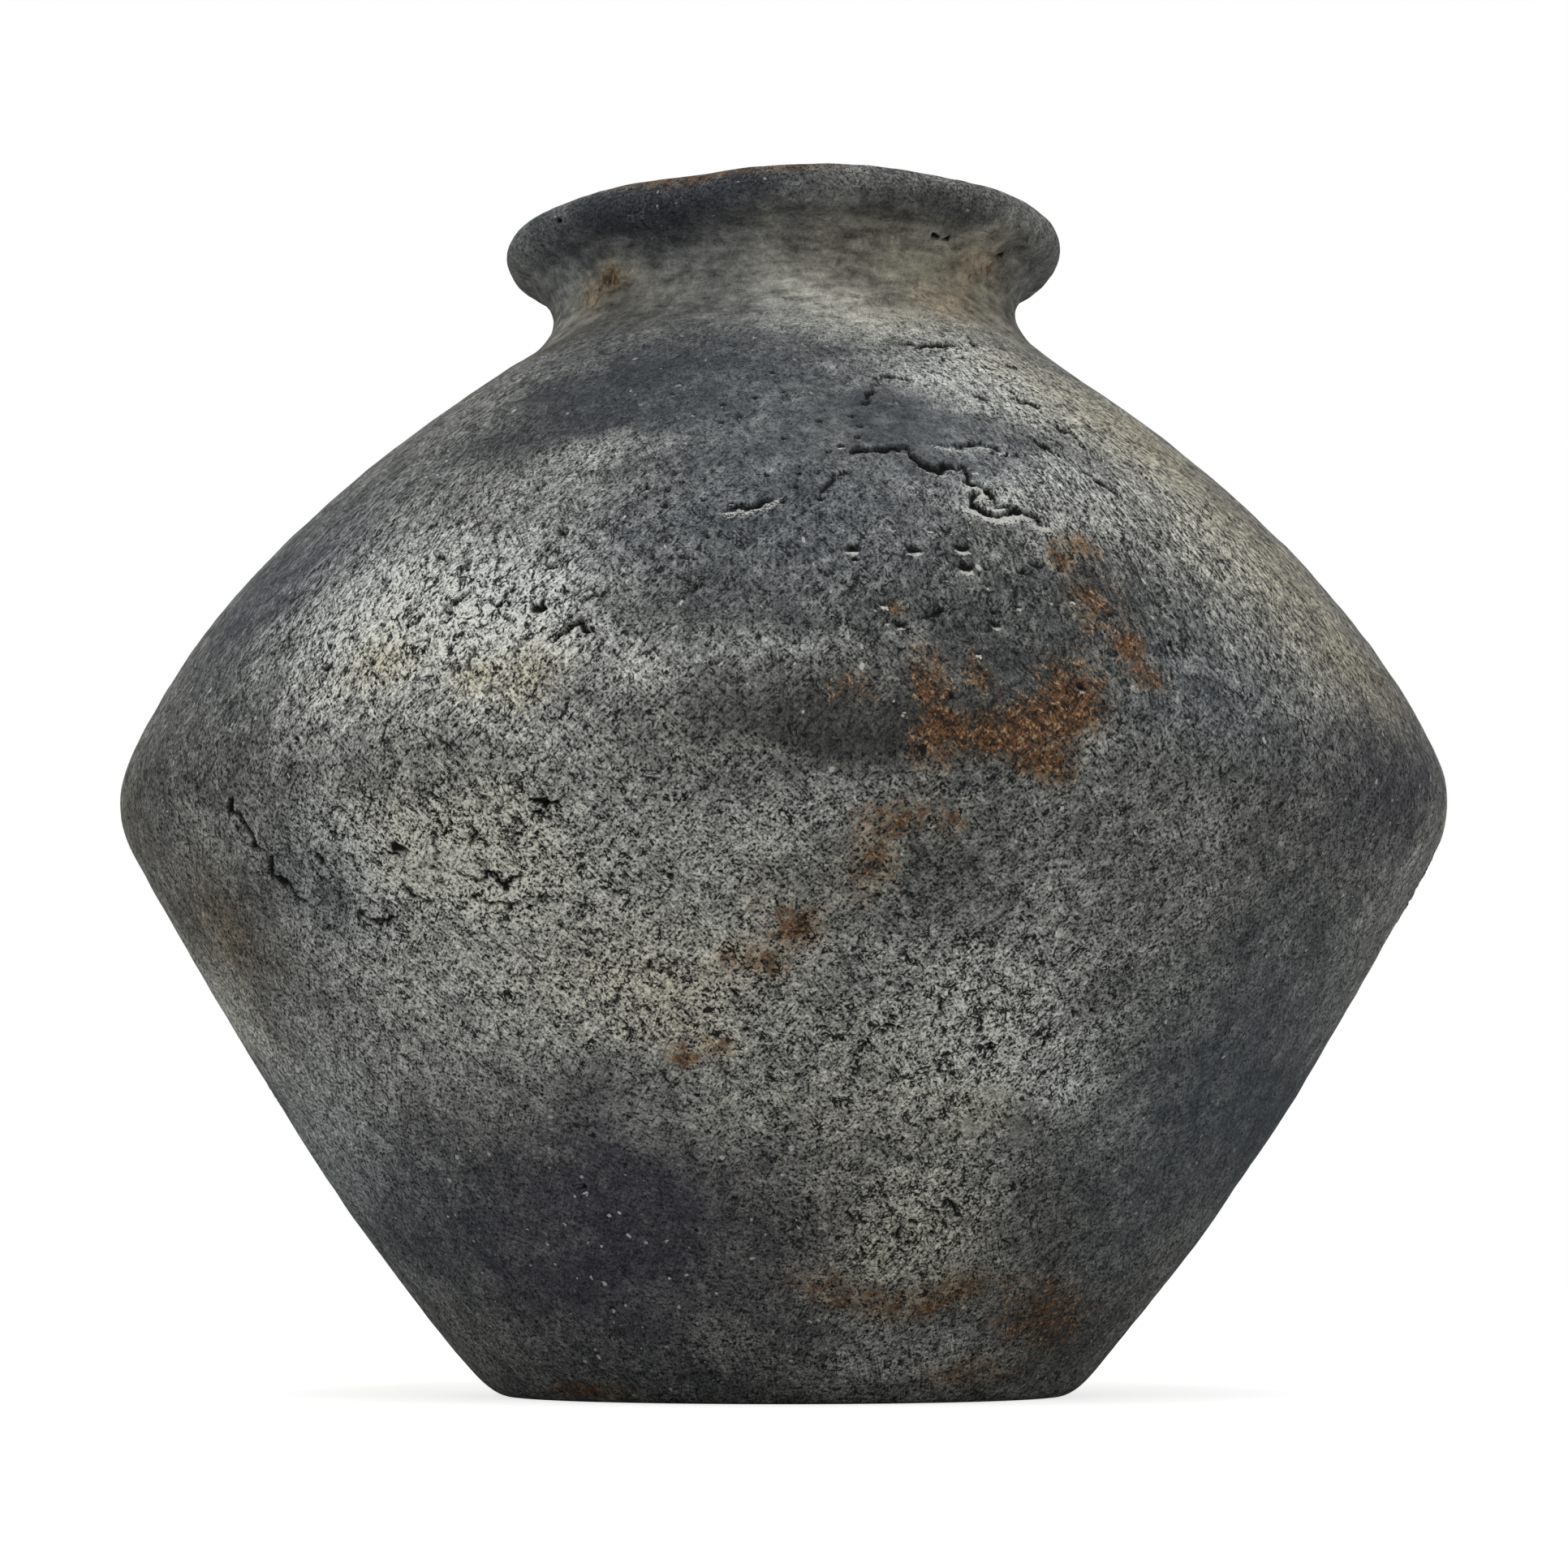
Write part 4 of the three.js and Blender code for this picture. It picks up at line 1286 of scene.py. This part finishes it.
@dataclass
class ClaySkin:
    """The whole surface of the clay, outside and inside.

    Spacings are those of its rings. Heights below the upending are mirrored about its half for
    the patches of the back.
    """

    line: WallLine
    turns: int = 528
    fine: float = 1.6
    finer: float = 1.0
    coarse: float = 9.0
    upending: float = 224.0
    lip_rings: int = 14
    seed: int = 11

    def __post_init__(self) -> None:
        """Lays out the cross-section and strews the random marks."""
        self.draw = np.random.default_rng(self.seed)
        self.lay_out()
        self.chosen_marks = [*CRACKS, *PITS]
        self.strewn_marks = []
        for field in (*SCATTERS, *self.back_scatters()):
            self.strewn_marks += field.strew(self.line, self.draw)
        self.patches = [*FRONT_PATCHES, *SIDE_PATCHES, *self.back_patches()]

    def lay_out(self) -> None:
        """Places the rings of the cross-section, from the foot's middle round to the floor's."""
        line, wall = self.line, self.line.outline.wall
        wall_end = line.clay(np.array(line.foot), wall)
        fillet = 0.75 * (wall_end[1] - line.outline.floor)
        floor_edge = wall_end - [fillet, line.outline.floor_lap]
        strips = [
            (Section.FOOT, self.straight((0, 0), line.points[0], self.coarse)),
            (Section.FOOT, self.strip(0, line.foot, 0, self.finer)),
            (Section.LOWER, self.strip(line.foot, line.belly, 0, self.fine)),
            (Section.SHOULDER, self.strip(line.belly, line.root, 0, self.fine)),
            (Section.COLLAR, self.strip(line.root, line.flare, 0, self.finer)),
            (Section.LIP, np.concatenate([
                line.clay(np.array([line.flare])), line.lip(self.finer),
                line.clay(np.array([line.flare]), wall)])),
            (Section.COLLAR, self.strip(line.flare, line.root, wall, 2 * self.finer)),
            (Section.SHOULDER, self.strip(line.root, line.belly, wall, self.coarse)),
            (Section.LOWER, self.strip(line.belly, line.foot, wall, self.coarse)),
            (Section.FOOT, self.straight(wall_end, floor_edge, 2 * self.finer)),
            (Section.FOOT, self.straight(floor_edge, (0, line.outline.floor), self.coarse)),
        ]
        self.rings = np.concatenate([strips[0][1][:1], *(points[1:] for _, points in strips)])
        self.sections = [section for section, points in strips for _ in points[1:]]
        steps = np.linalg.norm(np.diff(self.rings, axis=0), axis=1)
        self.travel = np.concatenate([[0], np.cumsum(steps)])
        self.bottom = self.travel[len(strips[0][1]) - 1]
        self.mouth = sum(len(points) - 1 for _, points in strips[:6])

    def strip(self, start: float, end: float, depth: float, spacing: float) -> np.ndarray:
        """Places points along the wall at one depth."""
        count = max(2, round(abs(end - start) / spacing))
        return self.line.clay(np.linspace(start, end, count + 1), depth)

    @staticmethod
    def straight(start: Sequence[float], end: Sequence[float], spacing: float) -> np.ndarray:
        """Places points along a straight line.

        Args:
            start: First point, radius and height.
            end: Last point.
            spacing: Wanted distance between points.

        Returns:
            The points.
        """
        start, end = np.asarray(start, float), np.asarray(end, float)
        count = max(2, round(float(np.linalg.norm(end - start)) / spacing))
        return start + (end - start) * np.linspace(0, 1, count + 1)[:, None]

    def back_scatters(self) -> list[Scatter]:
        """Chooses fields of marks for the sides and the back.

        Returns:
            The fields.
        """
        fields, pits, cracks = 14, 13, 9
        draw = self.draw.uniform
        return [
            Scatter(draw(95, 265), draw(25, 215), draw(20, 45), draw(14, 30), pits, cracks, draw(0.1, 0.6))
            for _ in range(fields)]

    def back_patches(self) -> list[Patch]:
        """Chooses patches for the back: the front's, turned about, upended and shifted at random.

        Returns:
            The patches. Those of the neck and the lip keep their heights.
        """
        stray = (9, 6)
        lowest, highest = 4, 268
        chosen = []
        for patch in FRONT_PATCHES:
            turned, lifted = self.draw.normal(0, stray)
            upended = patch.height if patch.height > self.upending else self.upending - patch.height
            chosen.append(replace(
                patch, azimuth=180 + patch.azimuth + turned, turn=-patch.turn,
                height=float(np.clip(upended + lifted, lowest, highest))))
        return chosen

    def build(self) -> bpy.types.Object:
        """Turns the cross-section about the axis and works its surface.

        Returns:
            The skin, still in one piece.
        """
        self.object = new_cross_section(self.rings)
        mesh = self.object.data
        keep_at_points(mesh, RING, np.arange(len(self.rings)))
        closing = {0, len(self.rings) - 1}
        select_only(self.object, "EDGE", [closing == set(edge.vertices) for edge in mesh.edges])
        bpy.ops.mesh.delete(type="EDGE")
        turn_about_axis(self.object, self.turns)
        bpy.ops.object.shade_smooth()
        self.refine(self.chosen_marks, cuts=3, margin=0.9)
        self.refine(self.strewn_marks, cuts=2, margin=0.4)
        self.sculpt()
        self.store_layers()
        return self.object

    def ring_numbers(self) -> np.ndarray:
        """Reads the ring number of each point."""
        return kept_at_points(self.object.data, RING)

    def measure(self) -> None:
        """Finds each point's azimuth, its distance up the wall, and its radius."""
        points = read_points(self.object.data)
        self.azimuth = np.degrees(np.arctan2(points[:, 0], -points[:, 1]))
        rings = self.ring_numbers()
        self.distance = np.interp(rings, np.arange(len(self.travel)), self.travel) - self.bottom
        self.radius = np.hypot(points[:, 0], points[:, 1])
        self.outer = rings <= self.mouth

    def offsets(self, azimuth: float, height: float, rows: np.ndarray) -> tuple[np.ndarray, np.ndarray]:
        """Measures points from a place on the outside.

        Args:
            azimuth: The place's azimuth.
            height: The place's height.
            rows: The points' numbers.

        Returns:
            Distances along the ring and up the wall.
        """
        turn = (self.azimuth[rows] - azimuth + 180) % 360 - 180
        return np.radians(turn) * self.radius[rows], self.distance[rows] - self.station(height)

    def station(self, height: float) -> float:
        """Finds where a height lies on the outside, the lip included.

        Args:
            height: The height.

        Returns:
            The distance up the wall.
        """
        if height < self.line.points[-1, 1]:
            return float(self.line.distance_at(height))
        first = int(np.searchsorted(self.travel, self.bottom + self.line.flare))
        outer = slice(first, first + self.lip_rings)
        return float(np.interp(height, self.rings[outer, 1], self.travel[outer])) - self.bottom

    def near(self, azimuth: float, height: float, reach: float) -> np.ndarray:
        """Finds the outside points near a place.

        Args:
            azimuth: The place's azimuth.
            height: The place's height.
            reach: How far away they may be.

        Returns:
            The points' numbers.
        """
        rows = np.flatnonzero(self.outer & (np.abs(self.distance - self.station(height)) < reach))
        across, along = self.offsets(azimuth, height, rows)
        return rows[np.hypot(across, along) < reach]

    def course(self, crack: Crack) -> np.ndarray:
        """Draws a crack's ragged course.

        Args:
            crack: The crack.

        Returns:
            Azimuths and heights along it.
        """
        ends = np.array(crack.points)
        radius = float(self.line.surface(self.line.distance_at(ends[0, 1]))[0])
        scale = np.array([math.radians(1) * radius, 1.0])
        steps = np.linalg.norm(np.diff(ends * scale, axis=0), axis=1)
        travel = np.concatenate([[0], np.cumsum(steps)])
        pace, fewest = 0.4, 4
        walk = np.linspace(0, travel[-1], max(fewest, int(travel[-1] / pace)))
        line = np.stack([np.interp(walk, travel, ends[:, axis]) for axis in (0, 1)], axis=1)
        along = np.column_stack([walk, np.tile((17 * ends[0, 0], ends[0, 1]), (len(walk), 1))])
        sweep, jag = cloud(along, size=2.6, seed=1), cloud(along, size=1.0, seed=2)
        wander = sweep[:, :2] * 1.1 + jag[:, :2] * 0.6
        held = np.sin(np.pi * np.linspace(0, 1, len(walk)))[:, None] ** 0.5
        return line + wander * held / scale

    def line_gaps(self, course: np.ndarray, place: np.ndarray) -> tuple[np.ndarray, np.ndarray]:
        """Measures the points of a course from a place.

        Args:
            course: Azimuths and heights along the course.
            place: The place's azimuth and height.

        Returns:
            Distances along the ring and up the wall.
        """
        radius = self.line.surface(self.line.distance_at(place[1]))[0]
        across = np.radians(course[:, 0] - place[0]) * radius
        return across, self.line.distance_at(course[:, 1]) - self.line.distance_at(place[1])

    def crack_points(self, crack: Crack, reach: float) -> tuple[np.ndarray, ...]:
        """Measures the points near a crack.

        Args:
            crack: The crack.
            reach: How far away they may be.

        Returns:
            The points' numbers, their distances from the crack, how far they lie above it, and
            the shares of its length at which they lie.
        """
        course = self.course(crack)
        middle = course[len(course) // 2]
        spread = np.hypot(*self.line_gaps(course, middle)).max()
        rows = self.near(*middle, reach + spread)
        gaps = np.stack([np.stack(self.offsets(*place, rows)) for place in course])
        away = np.hypot(gaps[:, 0], gaps[:, 1])
        nearest = np.argmin(away, axis=0)
        each = np.arange(len(rows))
        away, above, share = away[nearest, each], gaps[nearest, 1, each], nearest / (len(course) - 1)
        close = away < reach
        return rows[close], away[close], above[close], share[close]

    def refine(self, marks: Sequence[Mark], cuts: int, margin: float) -> None:
        """Cuts the faces around cracks and pits smaller.

        Args:
            marks: The cracks and pits.
            cuts: Cuts along each edge.
            margin: How far around a mark the faces are cut.
        """
        self.measure()
        wanted = np.zeros(len(self.azimuth), dtype=bool)
        for mark in marks:
            if isinstance(mark, Crack):
                wanted[self.crack_points(mark, mark.width + margin)[0]] = True
            else:
                wanted[self.near(mark.azimuth, mark.height, mark.radius + margin)] = True
        corners, starts = face_corners(self.object.data)
        select_only(self.object, "FACE", np.logical_or.reduceat(wanted[corners], starts))
        bpy.ops.mesh.subdivide(number_cuts=cuts)
        bpy.ops.object.mode_set(mode="OBJECT")

    def sculpt(self) -> None:
        """Gives the skin its hand-made shape: a tilted mouth, swellings, cracks and pits."""
        foot_clear, neck_bend, inside_share = (0.5, 9), (222, 262), 0.4
        self.measure()
        points = read_points(self.object.data)
        self.spots = points.copy()
        normals = read_normals(self.object.data)
        self.hollow_shade = np.zeros(len(points))
        self.chip_and_highlight = np.zeros(len(points))
        push = np.zeros(len(points))
        for mark in (*self.chosen_marks, *self.strewn_marks):
            if isinstance(mark, Crack):
                self.press_crack(mark, push)
            else:
                self.press_pit(mark, push)
        standing = ease(points[:, 2], *foot_clear) * np.where(self.outer, 1, inside_share)
        push += standing * sum(swelling.heights(points) for swelling in BROAD_SWELLINGS)
        push += standing * self.outer * FINE_SWELLING.heights(points)
        points += normals * push[:, None]
        lift = MOUTH_TILT * np.sin(np.radians(self.azimuth))
        lift += sum(wave.heights(self.azimuth) for wave in MOUTH_WAVES)
        points[:, 2] += lift * ease(points[:, 2], *neck_bend)
        write_points(self.object.data, points)

    def press_crack(self, crack: Crack, push: np.ndarray) -> None:
        """Opens a crack, with its upper edge lifted over its lower edge.

        Args:
            crack: The crack.
            push: Outward movement of each point, which is added to.
        """
        reach, soft, rubble, tips = 3.5, 1.4, 3.0, 0.35
        rows, away, above, share = self.crack_points(crack, crack.width + reach)
        ragged = 1 + 0.6 * cloud(self.spots[rows], size=1.7, seed=8)[:, 0]
        half = crack.width * (tips + (1 - tips) * np.sin(np.pi * share) ** 0.5) * ragged
        side = np.clip(above / 0.5, -1, 1)
        edge = np.exp(-(np.maximum(away - half, 0) / soft) ** 2)
        push[rows] -= crack.depth * ease(away / half, 1.15, 0.25)
        push[rows] += crack.lift * edge * np.where(side > 0, side, 0.5 * side)
        # pale lower edge: partly chipped slip, partly painted highlight where the lower lip catches the
        # light
        below = ease(-above, 0, 0.8) * np.exp(-(away / rubble) ** 2)
        # painted shade in the crack's core
        self.mark(rows, ease(away / half, 1.15, 0.6), crack.chip_and_highlight * below)

    def mark(self, rows: np.ndarray, hollow_shade: np.ndarray, chip_and_highlight: np.ndarray) -> None:
        """Notes the painted shade in a crack or pit and its pale lower edge, partly chipped and partly
        painted highlight.

        Args:
            rows: The points' numbers.
            hollow_shade: How much painted shade they take.
            chip_and_highlight: How pale their lower edge is, partly chipped slip and partly painted
                highlight.
        """
        self.hollow_shade[rows] = np.maximum(self.hollow_shade[rows], hollow_shade)
        self.chip_and_highlight[rows] = np.maximum(self.chip_and_highlight[rows], chip_and_highlight)

    def press_pit(self, pit: Pit, push: np.ndarray) -> None:
        """Opens a pit.

        Args:
            pit: The pit.
            push: Outward movement of each point, which is added to.
        """
        lobes, waviness = 3, 0.22
        rows = self.near(pit.azimuth, pit.height, 2.5 * pit.radius + 1)
        across, along = self.offsets(pit.azimuth, pit.height, rows)
        across, along = across / pit.radius, along / (pit.radius * pit.flat)
        edge = 1 + waviness * np.sin(lobes * np.arctan2(along, across) + pit.azimuth)
        away = np.hypot(across, along) * edge
        push[rows] -= pit.depth * (ease(away, 1.1, 0.35) * np.clip(0.75 + 0.55 * along, 0.2, 1.3))
        # pale lower edge: partly chipped, partly painted highlight where the lower rim catches the light
        below = np.exp(-(across / 0.8) ** 2 - ((along + 0.9) / 0.75) ** 2)
        # painted shadow in the pit's upper part, under its rim
        self.mark(rows, ease(away, 1.0, 0.7) * ease(along, -0.4, 0.1), pit.chip_and_highlight * below)

    def layer_values(self, layer: Layer) -> np.ndarray:
        """Sums the patches of a layer.

        Args:
            layer: The layer.

        Returns:
            The layer's value at each point.
        """
        tail, margin, bent_fully = 2.2, 10, 14
        softness, steepness = 0.75, 1.2
        total = np.zeros(len(self.azimuth))
        for patch in (chosen for chosen in self.patches if chosen.layer is layer):
            longest, shortest = max(patch.width, patch.length), min(patch.width, patch.length)
            rows = self.near(patch.azimuth, patch.height, tail * longest + margin)
            across, along = self.offsets(patch.azimuth, patch.height, rows)
            bend = self.bend[rows] * min(1, shortest / bent_fully)
            across, along = across + bend[:, 0], along + bend[:, 1]
            turn = math.radians(patch.turn)
            first = (across * math.cos(turn) + along * math.sin(turn)) / patch.width
            second = (along * math.cos(turn) - across * math.sin(turn)) / patch.length
            total[rows] += patch.amount * np.exp(-softness * (first ** 2 + second ** 2) ** steepness)
        return total * self.outer

    def grain_climb(self) -> np.ndarray:
        """Gives the height at which the grain is read on each ring, to draw it out on the shoulder.

        Returns:
            The heights.
        """
        steps, spread = np.diff(self.travel), np.diff(self.rings[:, 0])
        middle = (self.travel[1:] + self.travel[:-1]) / 2 - self.bottom
        belly, root = self.line.belly, self.line.root
        most_drawn, slowest = 0.42, 0.1
        drawn = ease(middle, belly - 20, belly + 15) * ease(middle, root + 5, root - 20)
        pace = 1 - most_drawn * drawn
        climb = np.sqrt(np.maximum((pace * steps) ** 2 - spread ** 2, (slowest * steps) ** 2))
        return np.concatenate([[0], np.cumsum(climb)])

    def store_layers(self) -> None:
        """Writes the painted layers and the place along the wall to the mesh."""
        mesh = self.object.data
        points = read_points(mesh)
        broad, ragged = cloud(points, size=26, seed=6), cloud(points, size=8, seed=7)
        self.bend = broad[:, :2] * 7 + ragged[:, :2] * 2.6
        ground = {
            Layer.ASH: np.where(self.outer, 0.42, 0.30), Layer.TAN: np.where(self.outer, 0.06, 0.45),
            Layer.BLUE: 0.12, Layer.PORES: 0.1}
        values = {layer: np.clip(ground.get(layer, 0) + self.layer_values(layer), -1, 1.3)
                  for layer in Layer}
        for layer in (Layer.BLUE, Layer.PLUM, Layer.TAN, Layer.RUST):
            values[layer] = np.clip(values[layer], 0, 1)
        values[Layer.HOLLOW_SHADE], values[Layer.CHIP_AND_HIGHLIGHT] = self.hollow_shade, self.chip_and_highlight
        for layer, numbers in values.items():
            keep_at_points(mesh, layer.value, numbers)
        climb = np.interp(self.ring_numbers(), np.arange(len(self.rings)), self.grain_climb())
        keep_at_points(mesh, WALL_PLACE, np.column_stack([points[:, :2], climb]))


@dataclass
class VaseWall:
    """The wall sections, parted from the skin and closed at their joints."""

    skin: ClaySkin
    clay: bpy.types.Material

    def build(self) -> list[bpy.types.Object]:
        """Parts the skin.

        Returns:
            The sections.
        """
        whole = self.skin.build()
        whole.data.materials.append(self.clay)
        keep_at_points(whole.data, SMOOTH, read_normals(whole.data))
        pieces = []
        for section in Section:
            piece = self.part(whole, section)
            self.close(piece)
            self.keep_shading(piece)
            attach(piece, BODY)
            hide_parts(section.value)
            pieces.append(piece)
        return pieces

    def part(self, whole: bpy.types.Object, section: Section) -> bpy.types.Object:
        """Takes one section off the skin.

        Args:
            whole: What is left of the skin.
            section: The section.

        Returns:
            The section's object.
        """
        if section is Section.LIP:
            whole.name = whole.data.name = f"{section.value}_skin"
            return whole
        pick(whole)
        rings = self.skin.ring_numbers()
        corners, starts = face_corners(whole.data)
        sums = np.add.reduceat(rings[corners], starts)
        counts = np.diff(np.append(starts, len(corners)))
        edges = np.floor(sums / counts).astype(int)
        belongs = np.array([named is section for named in self.skin.sections])
        select_only(whole, "FACE", belongs[edges])
        bpy.ops.mesh.separate(type="SELECTED")
        bpy.ops.object.mode_set(mode="OBJECT")
        piece = next(o for o in bpy.context.selected_objects if o != whole)
        piece.name = piece.data.name = f"{section.value}_skin"
        return piece

    def close(self, piece: bpy.types.Object) -> None:
        """Closes each open joint by bridging its outer and inner rim.

        Args:
            piece: The section.
        """
        pick(piece)
        mesh = piece.data
        rings = kept_at_points(mesh, RING)
        bpy.ops.object.mode_set(mode="EDIT")
        bpy.ops.mesh.select_mode(type="EDGE")
        bpy.ops.mesh.select_all(action="DESELECT")
        bpy.ops.mesh.select_non_manifold(extend=False, use_wire=False, use_multi_face=False,
                                         use_non_contiguous=False, use_verts=False)
        bpy.ops.object.mode_set(mode="OBJECT")
        rims = sorted({round(float(rings[v])) for e in mesh.edges if e.select for v in e.vertices})
        open_edges = [e.index for e in mesh.edges if e.select]
        rim_of = {i: round(float(rings[mesh.edges[i].vertices[0]])) for i in open_edges}
        while rims:
            pair = {rims[0], rims[-1]}
            rims = rims[1:-1]
            chosen = np.zeros(len(mesh.edges), dtype=bool)
            chosen[[i for i in open_edges if rim_of[i] in pair]] = True
            select_only(piece, "EDGE", chosen)
            bpy.ops.mesh.bridge_edge_loops()
            bpy.ops.object.mode_set(mode="OBJECT")

    def keep_shading(self, piece: bpy.types.Object) -> None:
        """Shades a section as the whole skin was shaded, with flat joint faces.

        Args:
            piece: The section.
        """
        one_ring = 1.5
        mesh = piece.data
        corners, starts = face_corners(mesh)
        rings = kept_at_points(mesh, RING)[corners]
        spread = np.maximum.reduceat(rings, starts) - np.minimum.reduceat(rings, starts)
        shading = kept_at_points(mesh, SMOOTH)[corners]
        for number in np.flatnonzero(spread > one_ring):
            face = mesh.polygons[number]
            face.use_smooth = False
            shading[face.loop_start:face.loop_start + face.loop_total] = face.normal
        mesh.normals_split_custom_set(shading)
        for name in (SMOOTH, RING):
            mesh.attributes.remove(mesh.attributes[name])


@dataclass
class SeamCoil:
    """A coil of clay pressed over a seam inside, dented by the maker's fingers."""

    name: str
    distance: float
    reach: float
    line: WallLine
    clay: bpy.types.Material
    edge: float = 0.8
    crown: float = 2.6
    ribs: int = 9
    turns: int = 180
    crease: float = 50.0
    finger: float = 14.0
    dent: float = 0.35

    def build(self) -> bpy.types.Object:
        """Turns the coil about the axis and presses the dents.

        Returns:
            The coil.
        """
        depth = self.line.outline.wall + self.line.outline.seam_gap
        shares = np.linspace(-1, 1, self.ribs)
        back = self.line.clay(self.distance + shares * self.reach, depth)
        swell = self.edge + self.crown * (1 - shares ** 2)
        front = np.array([self.line.clay(np.array(self.distance + share * self.reach), depth + thick)
                          for share, thick in zip(shares, swell)])
        piece = new_cross_section(np.concatenate([back, front[::-1]]))
        piece.name = piece.data.name = f"{self.name}_pressed"
        turn_about_axis(piece, self.turns)
        bpy.ops.object.shade_smooth_by_angle(angle=math.radians(self.crease))
        self.press(piece.data)
        piece.data.materials.append(self.clay)
        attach(piece, BODY)
        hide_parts(self.name)
        return piece

    def press(self, mesh: bpy.types.Mesh) -> None:
        """Presses shallow dents along the coil's front.

        Args:
            mesh: The coil's mesh.
        """
        points = read_points(mesh)
        middle = self.line.clay(np.array(self.distance), self.line.outline.wall)
        radius = np.hypot(points[:, 0], points[:, 1])
        turn = np.arctan2(points[:, 1], points[:, 0])
        front = ease(np.hypot(radius - middle[0], points[:, 2] - middle[1]), 0, self.reach)
        count = round(math.tau * middle[0] / self.finger)
        dent = self.dent * np.cos(count * turn + 1.3 * np.sin(3 * turn)) * (1 - front)
        points[:, :2] *= (1 + dent * (radius < middle[0] - 1) / np.maximum(radius, 1))[:, None]
        write_points(mesh, points)


@dataclass(frozen=True)
class Lamp:
    """A square soft lamp, with its place and aim in metres."""

    name: str
    place: tuple[float, float, float]
    size: float
    power: float
    aim: tuple[float, float, float] = (0, 0, 0.12)

    def hang(self) -> None:
        """Hangs the lamp."""
        light = bpy.data.lights.new(self.name, "AREA")
        light.size, light.energy = self.size, self.power
        holder = bpy.data.objects.new(self.name, light)
        holder.location = self.place
        facing = Vector(self.aim) - Vector(self.place)
        holder.rotation_euler = facing.to_track_quat("-Z", "Y").to_euler()
        bpy.context.collection.objects.link(holder)


@dataclass(frozen=True)
class Studio:
    """A pale floor, soft light from above and in front, and the camera."""

    camera_distance: float = 937.5
    camera_height: float = 28.1
    camera_tilt: float = 6.867
    lens: float = 93.0
    sensor: float = 36.0
    lamps: tuple[Lamp, ...] = (
        Lamp("key", (0.0, -0.55, 1.65), 1.5, 15.0), Lamp("fill", (0.0, -2.2, 0.7), 1.6, 3.5))
    sky: float = 0.42
    floor_size: float = 8.0
    floor_colour: Colour = paint(235, 235, 233)
    floor_glow: float = 0.72

    def build(self) -> None:
        """Sets the stage."""
        self.place_camera()
        for lamp in self.lamps:
            lamp.hang()
        self.light_sky()
        self.lay_floor()
        bpy.context.scene.view_settings.view_transform = "Standard"

    def place_camera(self) -> None:
        """Stands the camera where the photograph was taken from."""
        camera = bpy.data.cameras.new("camera")
        camera.lens, camera.sensor_width = self.lens, self.sensor
        camera.clip_start = 0.01
        stand = bpy.data.objects.new("camera", camera)
        stand.location = (0, -self.camera_distance * MM, self.camera_height * MM)
        stand.rotation_euler = (math.radians(90 + self.camera_tilt), 0, 0)
        bpy.context.collection.objects.link(stand)
        bpy.context.scene.camera = stand

    def light_sky(self) -> None:
        """Makes the surroundings white to the eye, and a soft light on the vase."""
        world = bpy.context.scene.world or bpy.data.worlds.new("surroundings")
        bpy.context.scene.world = world
        world.use_nodes = True
        sheet = NodeSheet(world.node_tree)
        seen, glossy, through = (
            sheet.add("ShaderNodeLightPath", output=f"Is {ray} Ray")
            for ray in ("Camera", "Glossy", "Transmission"))
        white = seen.larger(glossy.larger(through))
        glow = sheet.add("ShaderNodeBackground", None, {
            "Color": (1.0, 1.0, 1.0), "Strength": white * (1 - self.sky) + self.sky})
        sheet.add("ShaderNodeOutputWorld", None, {"Surface": glow})

    def lay_floor(self) -> None:
        """Lays the pale floor, which keeps the vase's shadow."""
        bpy.ops.object.select_all(action="DESELECT")
        bpy.ops.mesh.primitive_plane_add(size=self.floor_size)
        floor = bpy.context.object
        floor.name = floor.data.name = "floor"
        material, sheet = new_material("pale_floor")
        seen = sheet.add("ShaderNodeLightPath", output="Is Camera Ray")
        matt = sheet.add("ShaderNodeBsdfDiffuse", None, {"Color": self.floor_colour})
        lit = sheet.add("ShaderNodeEmission", None, {
            "Color": (1.0, 1.0, 1.0), "Strength": seen * self.floor_glow})
        shown = sheet.add("ShaderNodeAddShader", None, {0: matt, 1: lit})
        sheet.add("ShaderNodeOutputMaterial", None, {"Surface": shown})
        floor.data.materials.append(material)


def main() -> None:
    """Builds the vase and its stage."""
    logging.basicConfig(level=logging.INFO, format="%(name)s: %(message)s")
    line = WallLine(Outline())
    Studio().build()
    pieces = VaseWall(ClaySkin(line), WeatheredClay().material()).build()
    bare = BareClay().material()
    seams = (("base_seam_coil", line.foot, 5.0), ("belly_seam_coil", line.belly, 12.0),
             ("neck_seam_coil", line.root, 8.0))
    for name, distance, reach in seams:
        pieces.append(SeamCoil(name, distance, reach, line, bare).build())
    for piece in pieces:
        triangles = sum(len(face.vertices) - 2 for face in piece.data.polygons)
        LOG.info("%s: %d triangles", piece.name, triangles)


if __name__ == "__main__":
    main()
